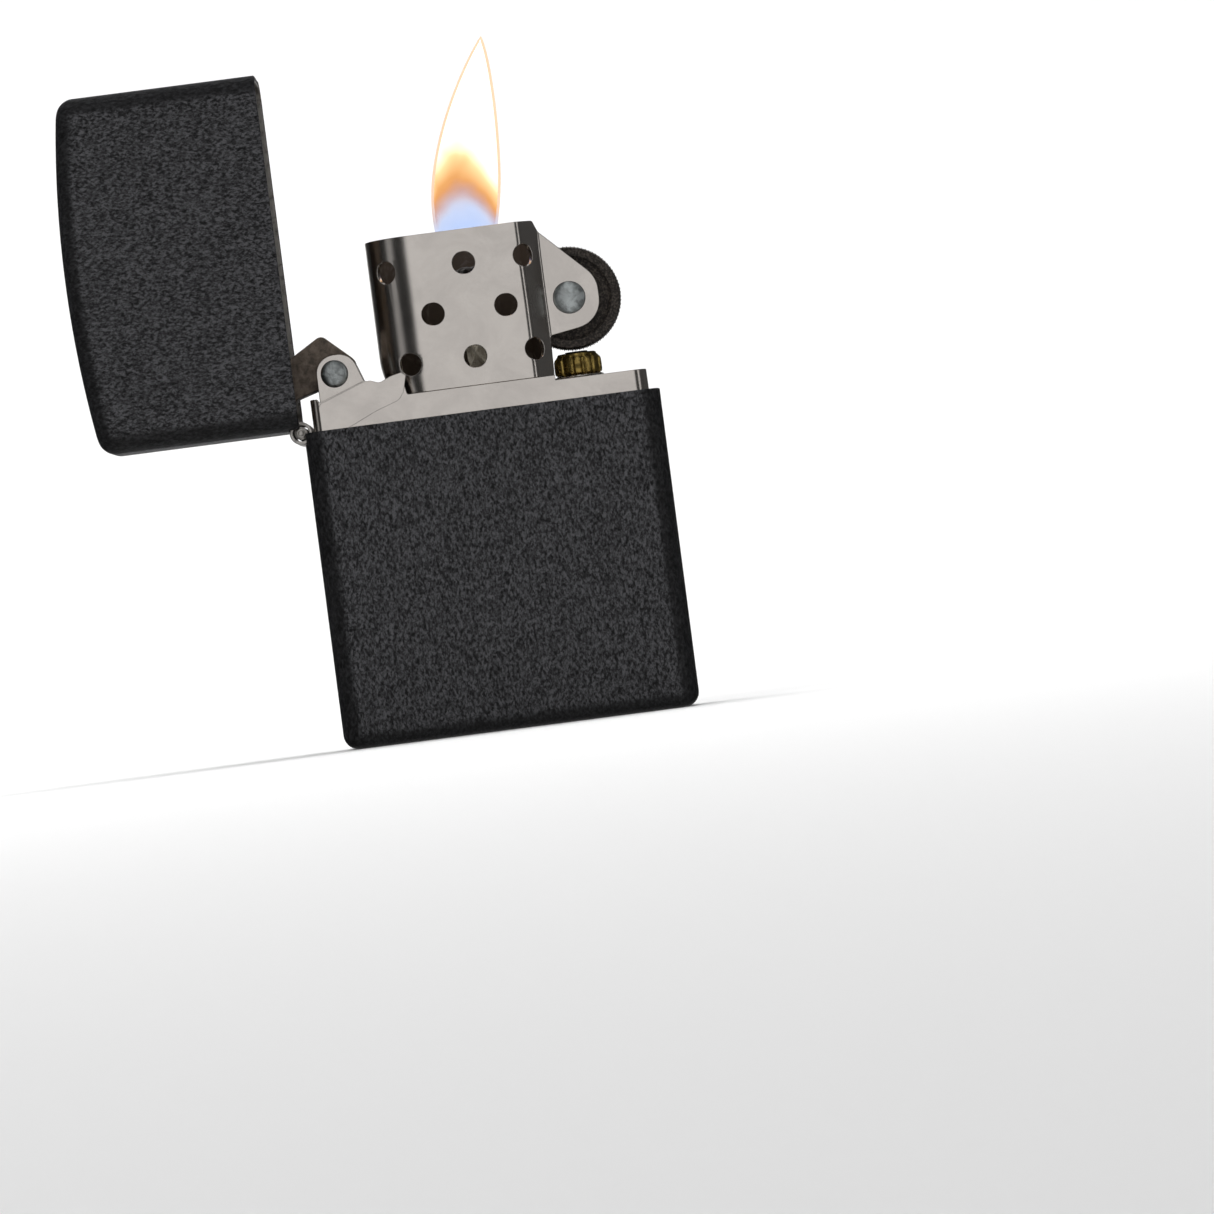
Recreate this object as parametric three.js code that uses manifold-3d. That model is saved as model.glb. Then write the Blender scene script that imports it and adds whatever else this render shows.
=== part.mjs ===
// A flip-top windproof petrol lighter, standing on its base with the lid thrown open.
//
// Millimetres, +Z up. The origin is the centre of the case's bottom face. The hinge is on the -X side,
// the striker wheel on the +X side, and the front face looks along -Y. Everything is symmetric in Y.
//
// Moving groups: the lid turns on the hinge pin, the cam on its rivet, the wheel on its rivet; the
// flint and its tip slide in the flint tube, the flint screw turns in the tube's lower end, and the
// whole inner unit slides up out of the case.

import * as THREE from "three";
import { mergeVertices } from "three/addons/utils/BufferGeometryUtils.js";
import Module from "manifold-3d";

const wasm = await Module();
wasm.setup();

// ---------------------------------------------------------------------------------------------
// Driving dimensions
// ---------------------------------------------------------------------------------------------

const CASE = {
  width: 38.1,
  depth: 12.7,
  height: 34.0,
  wall: 0.6,
  planRadius: 2.4, // upright edges, seen from above
  edgeRadius: 1.6, // bottom edges, and the lid's top edges
};
const LID = {
  height: 22.7, // to the middle of the crown
  crownRadius: 120, // the top bows upwards across the width
  gap: 0.15, // between the lid's mouth and the case's mouth
  openAngle: Math.PI / 2,
};
const HINGE = {
  outset: 0.3, // the pin's axis lies this far outside the case's end wall
  knuckleRadius: 1.2,
  boreRadius: 0.65,
  pinRadius: 0.6,
  knuckles: 5, // alternately on the case's leaf and on the lid's leaf
  knuckleLength: 1.8,
  knuckleGap: 0.1,
  leafThickness: 0.3,
  leafHeight: 8,
  leafHalfWidth: 3.85, // as wide as the flat of the end wall allows
  leafInset: 0.03, // between a leaf and the wall it is welded to
};
const TANK = {
  left: -17.95,
  right: 18.3,
  halfDepth: 5.6,
  wall: 0.4,
  bottom: 1.2,
  leftRadius: 1.0,
  rightRadius: 1.6,
  bottomRadius: 1.2,
  rim: 36.7, // below the chimney
  shoulder: 36.2, // on the wheel's side
  stepX: 8.2, // where the rim drops to the shoulder
  taperFrom: 34.2, // the wheel's end leans in above this, to clear the lid
  taper: 0.42,
};
// The tank's sheet where it sweeps up beside the chimney's round end to the cam's ears.
const SWEEP = {
  wallX: -7.2, // beside the chimney's flat
  wallTop: 39.3,
  lipX: -8.5,
  lipTop: 39.5,
  dipX: -10.1,
  dipZ: 38.2,
  crestX: -11.2,
  crestZ: 38.8,
  highX: -12.1, // the crease below the cam's ear, from here
  highZ: 38.7,
  lowX: -16.9, // down to here
  lowZ: 37.0,
  spurX: -17.2,
  endZ: 37.4,
};
const COVER = { bottom: 35.75, top: 36.15, left: -16.6, right: 17.7, halfDepth: 5.1 };
const CHIMNEY = {
  left: -10.17,
  halfDepth: 5.45,
  wall: 0.45,
  endRadius: 4.8, // the rounded end that faces the hinge
  bendStart: 6.2, // where the walls begin to turn in towards the wheel
  bendEnd: 8.1,
  bendRadius: 0.7,
  top: 53.4,
  bottom: 36.2,
};
const VENTS = {
  radius: 1.2,
  middleX: 0.1,
  pitchX: 3.9,
  lastX: 6.5, // beside the bend towards the wheel
  rows: [49.8, 44.8, 39.8],
  endTilts: [0.66, 0.5, 0.33], // how far round each row's end vent looks, in radians
};
const WHEEL = {
  x: 10.75,
  z: 44.8,
  radius: 5.6,
  width: 4.3,
  teeth: 60,
  toothDepth: 0.2,
  hubRadius: 2.3,
  hubGap: 0.15, // between the hub and each ear
  dishRadius: 4.3,
  dishDepth: 0.25,
};
const WHEEL_EAR = { outer: 3.25, thickness: 0.45, end: 13.92, low: 41.87, high: 46.6, neckX: 8.3 };
const WHEEL_RIVET = { shank: 1.0, clearance: 0.05, head: 1.74, headHeight: 0.4 };
const CAM = { x: -15.08, z: 39.95, halfWidth: 2.2 };
// The cam's corners about its rivet with the lid open: across, up and the corner's radius.
const CAM_OUTLINE = [
  [-0.96, 4.3, 0.8], // peak
  [2.3, 1.3, 1.0], // back of the boss
  [2.3, -1.2, 1.0],
  [0.8, -2.3, 0.8], // heel, on the leaf spring
  [-1.2, -2.2, 0.6],
  [-1.9, -1.46, 0.4], // throat
  [-4.4, -2.2, 0.8],
  [-5.2, -4.3, 0.5], // nose, inside the lid's hinge wall
  [-6.3, -4.2, 0.5],
  [-7.0, -1.6, 1.2],
  [-6.4, 1.1, 0.9],
];
const CAM_EAR = {
  outer: 2.95,
  thickness: 0.45,
  left: -17.0,
  right: -11.0,
  top: 41.95,
  topRadius: 1.95,
  waistX: -12.0,
  waistZ: 38.6,
  headX: -13.15,
  foldDrop: 0.37, // thickness of the fold below the crease
  baseLeft: -16.2,
  baseThickness: 0.35,
};
const CAM_RIVET = { shank: 0.75, clearance: 0.05, head: 1.47, headHeight: 0.4 };
const CAM_SPRING = {
  thickness: 0.3,
  halfWidth: 1.8,
  x: -17.3,
  foot: 22,
  bendZ: 37.05,
  bendRadius: 0.6,
  tipX: -13.6,
  tipZ: 37.2,
};
const SPRING_RIVET = { z: 26, shank: 0.6, clearance: 0.05, head: 1.1, headHeight: 0.35, seat: 0.02 };
const FLINT = { x: 10.75, radius: 1.2, top: 39.1, length: 5 };
const TUBE = { radius: 1.85, bore: 1.25, bottom: 4.2, top: 38.95 };
const BOSS = { radius: 2.9, top: 36.6, bore: 1.95 };
const COLLAR = { radius: 2.56, bottom: 36.65, top: 38.65, flutes: 14, fluteRadius: 0.3, lipRadius: 2.15 };
const TIP = { height: 2.0, stem: 0.55, stemLength: 1.5, gap: 0.1 };
const COIL = { radius: 0.92, wire: 0.2, bottom: 8.4, topGap: 0.3, turns: 16, stepsPerTurn: 8 };
const SCREW = {
  head: 2.6,
  headBottom: 1.3,
  headTop: 2.5,
  shank: 1.2,
  shankTop: 8.0,
  slot: 0.8,
  slotDepth: 0.5,
  notches: 16,
  notchRadius: 0.25,
  notchOut: 0.1, // how far outside the head the notches are centred
};
const WICK = { x: 0.6, radius: 1.5, bottom: 10, top: 49.6, clearance: 0.2 };
const PACKING = {
  bottom: 4.0,
  layers: 5,
  height: 6.2,
  gap: 0.1,
  left: -16.4,
  right: 17.6,
  halfDepth: 5.0,
  cornerRadius: 1.2,
  tubeClearance: 0.15,
};
const FELT = {
  bottom: 1.6,
  top: 3.8,
  left: -17.4,
  right: 17.8,
  halfDepth: 5.1,
  cornerRadius: 1.0,
  screwHole: 2.9,
};

const MERGE_MM = 1e-4;
const ROUND_SEGMENTS = 24;
const VENT_SEGMENTS = 14;
const CORNER_SEGMENTS = 7;
const BEYOND = 2; // how far cutting tools run past the faces they cut

const HALF_WIDTH = CASE.width / 2;
const HALF_DEPTH = CASE.depth / 2;
const HINGE_X = -HALF_WIDTH - HINGE.outset;
const HINGE_Z = CASE.height + LID.gap / 2;
const LID_BOTTOM = CASE.height + LID.gap;
const CROWN_TOP = LID_BOTTOM + LID.height;
const KNUCKLE_CLEARANCE = 0.1;
const KNUCKLE_PITCH = HINGE.knuckleLength + HINGE.knuckleGap;
const HINGE_LENGTH = HINGE.knuckles * KNUCKLE_PITCH - HINGE.knuckleGap;

// ---------------------------------------------------------------------------------------------
// Solids from three.js geometries
// ---------------------------------------------------------------------------------------------

function solid(geometry) {
  const bare = geometry.index ? geometry.toNonIndexed() : geometry.clone();
  for (const name of Object.keys(bare.attributes)) {
    if (name !== "position") bare.deleteAttribute(name);
  }
  const merged = mergeVertices(bare, MERGE_MM);
  const corners = merged.index.array;
  const triVerts = [];
  for (let i = 0; i < corners.length; i += 3) {
    const [a, b, c] = corners.slice(i, i + 3);
    if (a !== b && b !== c && c !== a) triVerts.push(a, b, c);
  }
  return new wasm.Manifold(
    new wasm.Mesh({
      numProp: 3,
      vertProperties: merged.attributes.position.array,
      triVerts: new Uint32Array(triVerts),
    }),
  );
}

function geometryOf(made) {
  const mesh = made.getMesh();
  const geometry = new THREE.BufferGeometry();
  geometry.setAttribute("position", new THREE.BufferAttribute(mesh.vertProperties, 3));
  geometry.setIndex(new THREE.BufferAttribute(mesh.triVerts, 1));
  geometry.computeVertexNormals();
  return geometry;
}

const extruded = (shape, depth, curveSegments) =>
  new THREE.ExtrudeGeometry(shape, { depth, curveSegments, bevelEnabled: false });

// A shape drawn in X and Y, from z0 up to z1.
function alongZ(shape, z0, z1, curveSegments = CORNER_SEGMENTS) {
  return solid(extruded(shape, z1 - z0, curveSegments).translate(0, 0, z0));
}

// A shape drawn in X and Z, from y0 to y1.
function alongY(shape, y0, y1, curveSegments = CORNER_SEGMENTS) {
  return solid(extruded(shape, y1 - y0, curveSegments).rotateX(Math.PI / 2).translate(0, y1, 0));
}

// A shape drawn in Y and Z, from x0 to x1.
function alongX(shape, x0, x1, curveSegments = CORNER_SEGMENTS) {
  const turn = new THREE.Matrix4().makeBasis(
    new THREE.Vector3(0, 1, 0),
    new THREE.Vector3(0, 0, 1),
    new THREE.Vector3(1, 0, 0),
  );
  return solid(extruded(shape, x1 - x0, curveSegments).applyMatrix4(turn).translate(x0, 0, 0));
}

function box(x0, x1, y0, y1, z0, z1) {
  const block = new THREE.BoxGeometry(x1 - x0, y1 - y0, z1 - z0);
  return solid(block.translate((x0 + x1) / 2, (y0 + y1) / 2, (z0 + z1) / 2));
}

function rodY(x, z, radius, y0, y1, segments = ROUND_SEGMENTS) {
  const rod = new THREE.CylinderGeometry(radius, radius, y1 - y0, segments);
  return solid(rod.translate(x, (y0 + y1) / 2, z));
}

function rodZ(x, y, radius, z0, z1, segments = ROUND_SEGMENTS) {
  const rod = new THREE.CylinderGeometry(radius, radius, z1 - z0, segments);
  return solid(rod.rotateX(Math.PI / 2).translate(x, y, (z0 + z1) / 2));
}

// A polygon whose corners are [x, y, radius], with each corner rounded by an arc of its radius.
function roundedPolygon(corners) {
  const shape = new THREE.Shape();
  corners.forEach(([x, y, radius = 0], i) => {
    const corner = new THREE.Vector2(x, y);
    const before = corners[(i + corners.length - 1) % corners.length];
    const after = corners[(i + 1) % corners.length];
    const back = new THREE.Vector2(before[0], before[1]).sub(corner).normalize();
    const ahead = new THREE.Vector2(after[0], after[1]).sub(corner).normalize();
    if (!radius) {
      if (i === 0) shape.moveTo(x, y);
      else shape.lineTo(x, y);
      return;
    }
    const half = Math.acos(THREE.MathUtils.clamp(back.dot(ahead), -1, 1)) / 2;
    const start = corner.clone().addScaledVector(back, radius / Math.tan(half));
    const end = corner.clone().addScaledVector(ahead, radius / Math.tan(half));
    const inward = back.clone().add(ahead).normalize();
    const centre = corner.clone().addScaledVector(inward, radius / Math.sin(half));
    const from = Math.atan2(start.y - centre.y, start.x - centre.x);
    const to = Math.atan2(end.y - centre.y, end.x - centre.x);
    if (i === 0) shape.moveTo(start.x, start.y);
    else shape.lineTo(start.x, start.y);
    shape.absarc(centre.x, centre.y, radius, from, to, back.cross(ahead) > 0);
  });
  shape.closePath();
  return shape;
}

const rectangle = (x0, x1, y0, y1, radius = 0) =>
  roundedPolygon([
    [x0, y0, radius],
    [x1, y0, radius],
    [x1, y1, radius],
    [x0, y1, radius],
  ]);

// Sheet metal seen edge on: its middle line has corners [x, y, bend radius], offset to both sides.
function sheetStrip(corners, thickness) {
  const side = (sign) =>
    corners.map(([x, y, bend = 0], i) => {
      const here = new THREE.Vector2(x, y);
      const before = corners[Math.max(i - 1, 0)];
      const after = corners[Math.min(i + 1, corners.length - 1)];
      const into = here.clone().sub(new THREE.Vector2(before[0], before[1]));
      const out = new THREE.Vector2(after[0], after[1]).sub(here);
      if (i === 0) into.copy(out);
      if (i === corners.length - 1) out.copy(into);
      into.normalize();
      out.normalize();
      const normal = new THREE.Vector2(-into.y - out.y, into.x + out.x).normalize();
      const reach = thickness / 2 / Math.sqrt((1 + into.dot(out)) / 2);
      const turn = Math.sign(into.cross(out));
      here.addScaledVector(normal, sign * reach);
      return [here.x, here.y, bend ? bend - sign * turn * (thickness / 2) : 0];
    });
  return roundedPolygon([...side(-1), ...side(1).reverse()]);
}

const joined = (...parts) => parts.reduce((all, part) => all.add(part));

// ---------------------------------------------------------------------------------------------
// Materials
// ---------------------------------------------------------------------------------------------

const finish = (color, roughness, metalness) =>
  new THREE.MeshStandardMaterial({ color, roughness, metalness });

const MATERIALS = {
  crackle: finish(0x2a2a2c, 0.75, 0.1),
  nickel: finish(0xcfc8c1, 0.32, 1),
  hinge: finish(0xb9b2aa, 0.4, 1),
  rivet: finish(0xc6cbcb, 0.28, 1),
  cam: finish(0x4a4038, 0.7, 0.6),
  wheel: finish(0x2b2825, 0.6, 0.7),
  brass: finish(0xa9863c, 0.38, 1),
  flint: finish(0x56565a, 0.7, 0.5),
  spring: finish(0x9fa3a6, 0.35, 1),
  cotton: finish(0xe9e4d8, 0.95, 0),
  felt: finish(0xc9c2b2, 0.98, 0),
};

function node(name, made, material) {
  const mesh = new THREE.Mesh(geometryOf(made), MATERIALS[material]);
  mesh.name = name;
  return mesh;
}

// ---------------------------------------------------------------------------------------------
// Case and lid
// ---------------------------------------------------------------------------------------------

const planBlock = (inset, z0, z1) =>
  alongZ(
    rectangle(-HALF_WIDTH + inset, HALF_WIDTH - inset, -HALF_DEPTH + inset, HALF_DEPTH - inset,
      CASE.planRadius - inset),
    z0,
    z1,
  );

// The case's outside, or its inside when inset by the wall: three rounded outlines crossed.
function caseBlock(inset, top) {
  const radius = CASE.edgeRadius - inset;
  const outline = (half) =>
    roundedPolygon([
      [-half + inset, inset, radius],
      [half - inset, inset, radius],
      [half - inset, top],
      [-half + inset, top],
    ]);
  return planBlock(inset, inset, top)
    .intersect(alongY(outline(HALF_WIDTH), -HALF_DEPTH, HALF_DEPTH))
    .intersect(alongX(outline(HALF_DEPTH), -HALF_WIDTH, HALF_WIDTH));
}

// The lid's outside, or its inside when inset, in the closed position.
function lidBlock(inset, bottom) {
  const radius = CASE.edgeRadius - inset;
  const crown = LID.crownRadius - inset;
  const half = HALF_WIDTH - inset;
  const centreZ = CROWN_TOP - LID.crownRadius;
  const cornerZ = centreZ + Math.sqrt(crown ** 2 - half ** 2);
  const slopeRise = (half * half) / Math.sqrt(crown ** 2 - half ** 2);
  const front = roundedPolygon([
    [-half, bottom],
    [half, bottom],
    [half, cornerZ, radius],
    [0, cornerZ + slopeRise],
    [-half, cornerZ, radius],
  ]);
  const depth = HALF_DEPTH - inset;
  const barrel = new THREE.Path();
  barrel.moveTo(0, -depth);
  barrel.lineTo(crown - radius, -depth);
  barrel.absarc(crown - radius, -depth + radius, radius, -Math.PI / 2, 0, false);
  barrel.absarc(crown - radius, depth - radius, radius, 0, Math.PI / 2, false);
  barrel.lineTo(0, depth);
  const crownSegments = 180;
  const drum = new THREE.LatheGeometry(barrel.getPoints(CORNER_SEGMENTS), crownSegments);
  return planBlock(inset, bottom, CROWN_TOP - inset)
    .intersect(alongY(front, -HALF_DEPTH, HALF_DEPTH))
    .intersect(solid(drum.translate(0, 0, centreZ)));
}

// The slot in both end walls that the knuckles stand in.
function knuckleSlot() {
  const reach = HINGE.knuckleRadius + KNUCKLE_CLEARANCE;
  const half = HINGE_LENGTH / 2 + KNUCKLE_CLEARANCE;
  const inside = HINGE_X + reach;
  return box(-HALF_WIDTH - BEYOND, inside, -half, half, HINGE_Z - reach, HINGE_Z + reach);
}

function caseShell() {
  return caseBlock(0, CASE.height)
    .subtract(caseBlock(CASE.wall, CASE.height + BEYOND))
    .subtract(knuckleSlot());
}

function lidShell() {
  return lidBlock(0, LID_BOTTOM)
    .subtract(lidBlock(CASE.wall, LID_BOTTOM - BEYOND))
    .subtract(knuckleSlot());
}

const knuckleSpan = (i) => {
  const start = -HINGE_LENGTH / 2 + i * KNUCKLE_PITCH;
  return [start, start + HINGE.knuckleLength];
};

// A hinge leaf: a plate inside the end wall that rolls round the pin at every second knuckle.
// side is -1 for the case's leaf, which hangs below the pin, and 1 for the lid's, which stands above.
function hingeLeaf(side) {
  const outer = -HALF_WIDTH + CASE.wall + HINGE.leafInset;
  const inner = outer + HINGE.leafThickness;
  const near = HINGE_Z;
  const far = HINGE_Z + side * HINGE.leafHeight;
  const half = HINGE_LENGTH / 2;
  const own = side < 0 ? 0 : 1;
  const wide = HINGE.leafHalfWidth;
  let leaf = box(outer, inner, -wide, wide, Math.min(near, far), Math.max(near, far));
  const clear = HINGE.knuckleRadius - 0.15;
  for (let i = 0; i < HINGE.knuckles; i++) {
    const [start, end] = knuckleSpan(i);
    if (i % 2 === own) {
      leaf = leaf.add(rodY(HINGE_X, HINGE_Z, HINGE.knuckleRadius, start, end));
    } else {
      const margin = HINGE.knuckleGap;
      const low = side < 0 ? HINGE_Z - clear : HINGE_Z - BEYOND;
      const high = side < 0 ? HINGE_Z + BEYOND : HINGE_Z + clear;
      leaf = leaf.subtract(box(outer - 0.1, inner + 0.1, start - margin, end + margin, low, high));
    }
  }
  return leaf.subtract(rodY(HINGE_X, HINGE_Z, HINGE.boreRadius, -half - BEYOND, half + BEYOND));
}

// The pin has a small drilled centre in each end, where it was peened.
function hingePin() {
  const half = HINGE_LENGTH / 2 - 0.05;
  const dimple = 0.28;
  const dimpleDepth = 0.35;
  return rodY(HINGE_X, HINGE_Z, HINGE.pinRadius, -half, half)
    .subtract(rodY(HINGE_X, HINGE_Z, dimple, -half - BEYOND, -half + dimpleDepth))
    .subtract(rodY(HINGE_X, HINGE_Z, dimple, half - dimpleDepth, half + BEYOND));
}

// ---------------------------------------------------------------------------------------------
// Inner unit: tank, cover, chimney
// ---------------------------------------------------------------------------------------------

const tankPlan = (inset) =>
  roundedPolygon([
    [TANK.left + inset, -TANK.halfDepth + inset, TANK.leftRadius - inset],
    [TANK.right - inset, -TANK.halfDepth + inset, TANK.rightRadius - inset],
    [TANK.right - inset, TANK.halfDepth - inset, TANK.rightRadius - inset],
    [TANK.left + inset, TANK.halfDepth - inset, TANK.leftRadius - inset],
  ]);

// Front outline of the tank: its top edge carries the sheet that sweeps up to the cam's ears, dips
// where the chimney's round end is drawn out of it, and tapers at the wheel end to clear the lid.
function tankFront() {
  return roundedPolygon([
    [TANK.left, TANK.bottom, TANK.bottomRadius],
    [TANK.right, TANK.bottom, TANK.bottomRadius],
    [TANK.right, TANK.taperFrom],
    [TANK.right - TANK.taper, TANK.shoulder, 0.35],
    [TANK.stepX, TANK.shoulder],
    [TANK.stepX, TANK.rim],
    [SWEEP.wallX, TANK.rim, 0.2],
    [SWEEP.wallX, SWEEP.wallTop, 0.5],
    [SWEEP.lipX, SWEEP.lipTop, 0.6],
    [SWEEP.dipX, SWEEP.dipZ, 0.6],
    [SWEEP.crestX, SWEEP.crestZ, 0.5],
    [SWEEP.highX, SWEEP.highZ],
    [SWEEP.lowX, SWEEP.lowZ],
    [SWEEP.spurX, SWEEP.endZ],
    [TANK.left, SWEEP.endZ],
  ]);
}

function insertTank() {
  const top = SWEEP.lipTop + BEYOND;
  const rivetBore = SPRING_RIVET.shank + SPRING_RIVET.clearance;
  const bore = new THREE.CylinderGeometry(rivetBore, rivetBore, 2, ROUND_SEGMENTS);
  return alongZ(tankPlan(0), TANK.bottom, top)
    .subtract(alongZ(tankPlan(TANK.wall), TANK.bottom - BEYOND, top + BEYOND))
    .intersect(alongY(tankFront(), -HALF_DEPTH, HALF_DEPTH))
    .subtract(solid(bore.rotateZ(Math.PI / 2).translate(TANK.left, 0, SPRING_RIVET.z)));
}

function tankCover() {
  const plate = alongZ(
    rectangle(COVER.left, COVER.right, -COVER.halfDepth, COVER.halfDepth, 0.8),
    COVER.bottom,
    COVER.top,
  );
  const [low, high] = [COVER.bottom - BEYOND, BOSS.top + BEYOND];
  return plate
    .add(rodZ(FLINT.x, 0, BOSS.radius, COVER.bottom, BOSS.top, 32))
    .subtract(rodZ(FLINT.x, 0, BOSS.bore, low, high))
    .subtract(rodZ(WICK.x, 0, WICK.radius + WICK.clearance, low, high));
}

// The chimney's sheet, seen from above, from one wheel ear round the closed end to the other.
function chimneyPlan() {
  const middle = CHIMNEY.halfDepth - CHIMNEY.wall / 2;
  const ear = WHEEL_EAR.outer - WHEEL_EAR.thickness / 2;
  const left = CHIMNEY.left + CHIMNEY.wall / 2;
  const bend = CHIMNEY.bendRadius;
  const half = [
    [WHEEL_EAR.end + BEYOND, -ear],
    [CHIMNEY.bendEnd, -ear, bend],
    [CHIMNEY.bendStart, -middle, bend],
    [left, -middle, CHIMNEY.endRadius - CHIMNEY.wall / 2],
  ];
  const mirrored = half.map(([x, y, r]) => [x, -y, r]).reverse();
  return sheetStrip([...half, ...mirrored], CHIMNEY.wall);
}

// Front outline of the chimney with its wheel ear.
function chimneyFront() {
  return roundedPolygon([
    [CHIMNEY.left - 1, CHIMNEY.bottom],
    [7.9, CHIMNEY.bottom],
    [WHEEL_EAR.neckX, 41.0, 0.4],
    [WHEEL_EAR.end, WHEEL_EAR.low, 3.0],
    [WHEEL_EAR.end, WHEEL_EAR.high, 3.2],
    [WHEEL_EAR.neckX, CHIMNEY.top - 1.2],
    [7.6, CHIMNEY.top, 0.5],
    [CHIMNEY.left - 1, CHIMNEY.top],
  ]);
}

function vent(x, z, face) {
  const tool = new THREE.CylinderGeometry(VENTS.radius, VENTS.radius, 2 * BEYOND, VENT_SEGMENTS);
  return solid(tool.translate(x, face * (CHIMNEY.halfDepth - CHIMNEY.wall / 2), z));
}

function endVent(z, face, tilt) {
  const radius = CHIMNEY.endRadius - CHIMNEY.wall / 2;
  const tool = new THREE.CylinderGeometry(VENTS.radius, VENTS.radius, 2 * BEYOND, VENT_SEGMENTS);
  tool.translate(0, face * radius, 0).rotateZ(face * tilt);
  const centreX = CHIMNEY.left + CHIMNEY.endRadius;
  return solid(tool.translate(centreX, face * (CHIMNEY.halfDepth - CHIMNEY.endRadius), z));
}

// Vents are punched square to the sheet, in rows of three and two. The back wall's rows are staggered
// against the front wall's, so that no vent looks straight through both walls.
function wallVents(face) {
  const { middleX, pitchX, lastX, rows, endTilts } = VENTS;
  return rows.flatMap((z, row) => {
    const wide = (row % 2 === 0) === face < 0;
    if (!wide) return [vent(middleX - pitchX, z, face), vent(middleX + pitchX, z, face)];
    return [endVent(z, face, endTilts[row]), vent(middleX, z, face), vent(lastX, z, face)];
  });
}

function chimney() {
  let shell = alongZ(chimneyPlan(), CHIMNEY.bottom, CHIMNEY.top).intersect(
    alongY(chimneyFront(), -HALF_DEPTH, HALF_DEPTH),
  );
  for (const face of [-1, 1]) {
    const seat = [face * (TANK.halfDepth - TANK.wall - 0.05), face * HALF_DEPTH].sort((a, b) => a - b);
    shell = shell
      .subtract(joined(...wallVents(face)))
      .subtract(box(-HALF_WIDTH, HALF_WIDTH, seat[0], seat[1], 30, TANK.rim + 0.05))
      .subtract(rodY(WHEEL.x, WHEEL.z, WHEEL_RIVET.shank + 0.05, face > 0 ? 2 : -5, face > 0 ? 5 : -2));
  }
  return shell;
}

// ---------------------------------------------------------------------------------------------
// Cam and its bracket
// ---------------------------------------------------------------------------------------------

function camBracket() {
  const foot = COVER.top + 0.05;
  const ear = roundedPolygon([
    [CAM_EAR.left, foot],
    [CAM_EAR.right, foot],
    [CAM_EAR.waistX, CAM_EAR.waistZ, 0.4],
    [CAM_EAR.headX, CAM_EAR.top, CAM_EAR.topRadius],
    [CAM_EAR.left, CAM_EAR.top, CAM_EAR.topRadius],
  ]);
  // The shoulder is the fold between the tank's face and the ear, along a line that rises towards +X.
  const [foldLow, foldHigh] = [SWEEP.lowZ - 0.03, SWEEP.highZ - 0.08];
  const shoulder = roundedPolygon([
    [SWEEP.lowX, foldLow - CAM_EAR.foldDrop],
    [SWEEP.highX, foldHigh - CAM_EAR.foldDrop],
    [SWEEP.highX, foldHigh],
    [SWEEP.lowX, foldLow],
  ]);
  const inner = CAM_EAR.outer - CAM_EAR.thickness;
  const across = inner + 0.1;
  let bracket = box(CAM_EAR.baseLeft, CAM_EAR.right, -across, across, foot, foot + CAM_EAR.baseThickness);
  for (const face of [-1, 1]) {
    const plate = [face * inner, face * CAM_EAR.outer].sort((a, b) => a - b);
    const fold = [face * inner, face * (TANK.halfDepth - TANK.wall - 0.05)].sort((a, b) => a - b);
    bracket = bracket.add(alongY(ear, plate[0], plate[1])).add(alongY(shoulder, fold[0], fold[1]));
  }
  const bore = CAM_RIVET.shank + CAM_RIVET.clearance;
  return bracket.subtract(rodY(CAM.x, CAM.z, bore, -HALF_DEPTH, HALF_DEPTH));
}

// A boss round the rivet, a peak, and a long nose that reaches through the open lid's mouth and bears
// down on the inside of its hinge wall.
function cam() {
  const { x, z } = CAM;
  const outline = roundedPolygon(CAM_OUTLINE.map(([over, up, radius]) => [x + over, z + up, radius]));
  const bore = CAM_RIVET.shank + CAM_RIVET.clearance;
  return alongY(outline, -CAM.halfWidth, CAM.halfWidth, 6).subtract(
    rodY(x, z, bore, -HALF_DEPTH, HALF_DEPTH),
  );
}

// A headed rivet across the unit: a plain shank and two low domed heads outside the ears.
function rivet(x, z, { shank, head, headHeight }, earOuter) {
  const seat = earOuter + 0.02;
  const profile = new THREE.Path();
  profile.moveTo(0, -seat - headHeight);
  profile.quadraticCurveTo(head * 0.75, -seat - headHeight, head, -seat - headHeight * 0.35);
  profile.lineTo(head, -seat);
  profile.lineTo(shank, -seat);
  profile.lineTo(shank, seat);
  profile.lineTo(head, seat);
  profile.lineTo(head, seat + headHeight * 0.35);
  profile.quadraticCurveTo(head * 0.75, seat + headHeight, 0, seat + headHeight);
  return solid(new THREE.LatheGeometry(profile.getPoints(5), ROUND_SEGMENTS).translate(x, 0, z));
}

// A leaf spring: it climbs the inside of the tank's end wall and bends over below the cam.
function camSpring() {
  const { x, foot, bendZ, bendRadius, tipX, tipZ, thickness, halfWidth } = CAM_SPRING;
  const strip = sheetStrip(
    [
      [x, foot],
      [x, bendZ, bendRadius],
      [tipX, tipZ],
    ],
    thickness,
  );
  const radius = SPRING_RIVET.shank + SPRING_RIVET.clearance;
  const bore = new THREE.CylinderGeometry(radius, radius, 2, ROUND_SEGMENTS);
  return alongY(strip, -halfWidth, halfWidth).subtract(
    solid(bore.rotateZ(Math.PI / 2).translate(x, 0, SPRING_RIVET.z)),
  );
}

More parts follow.
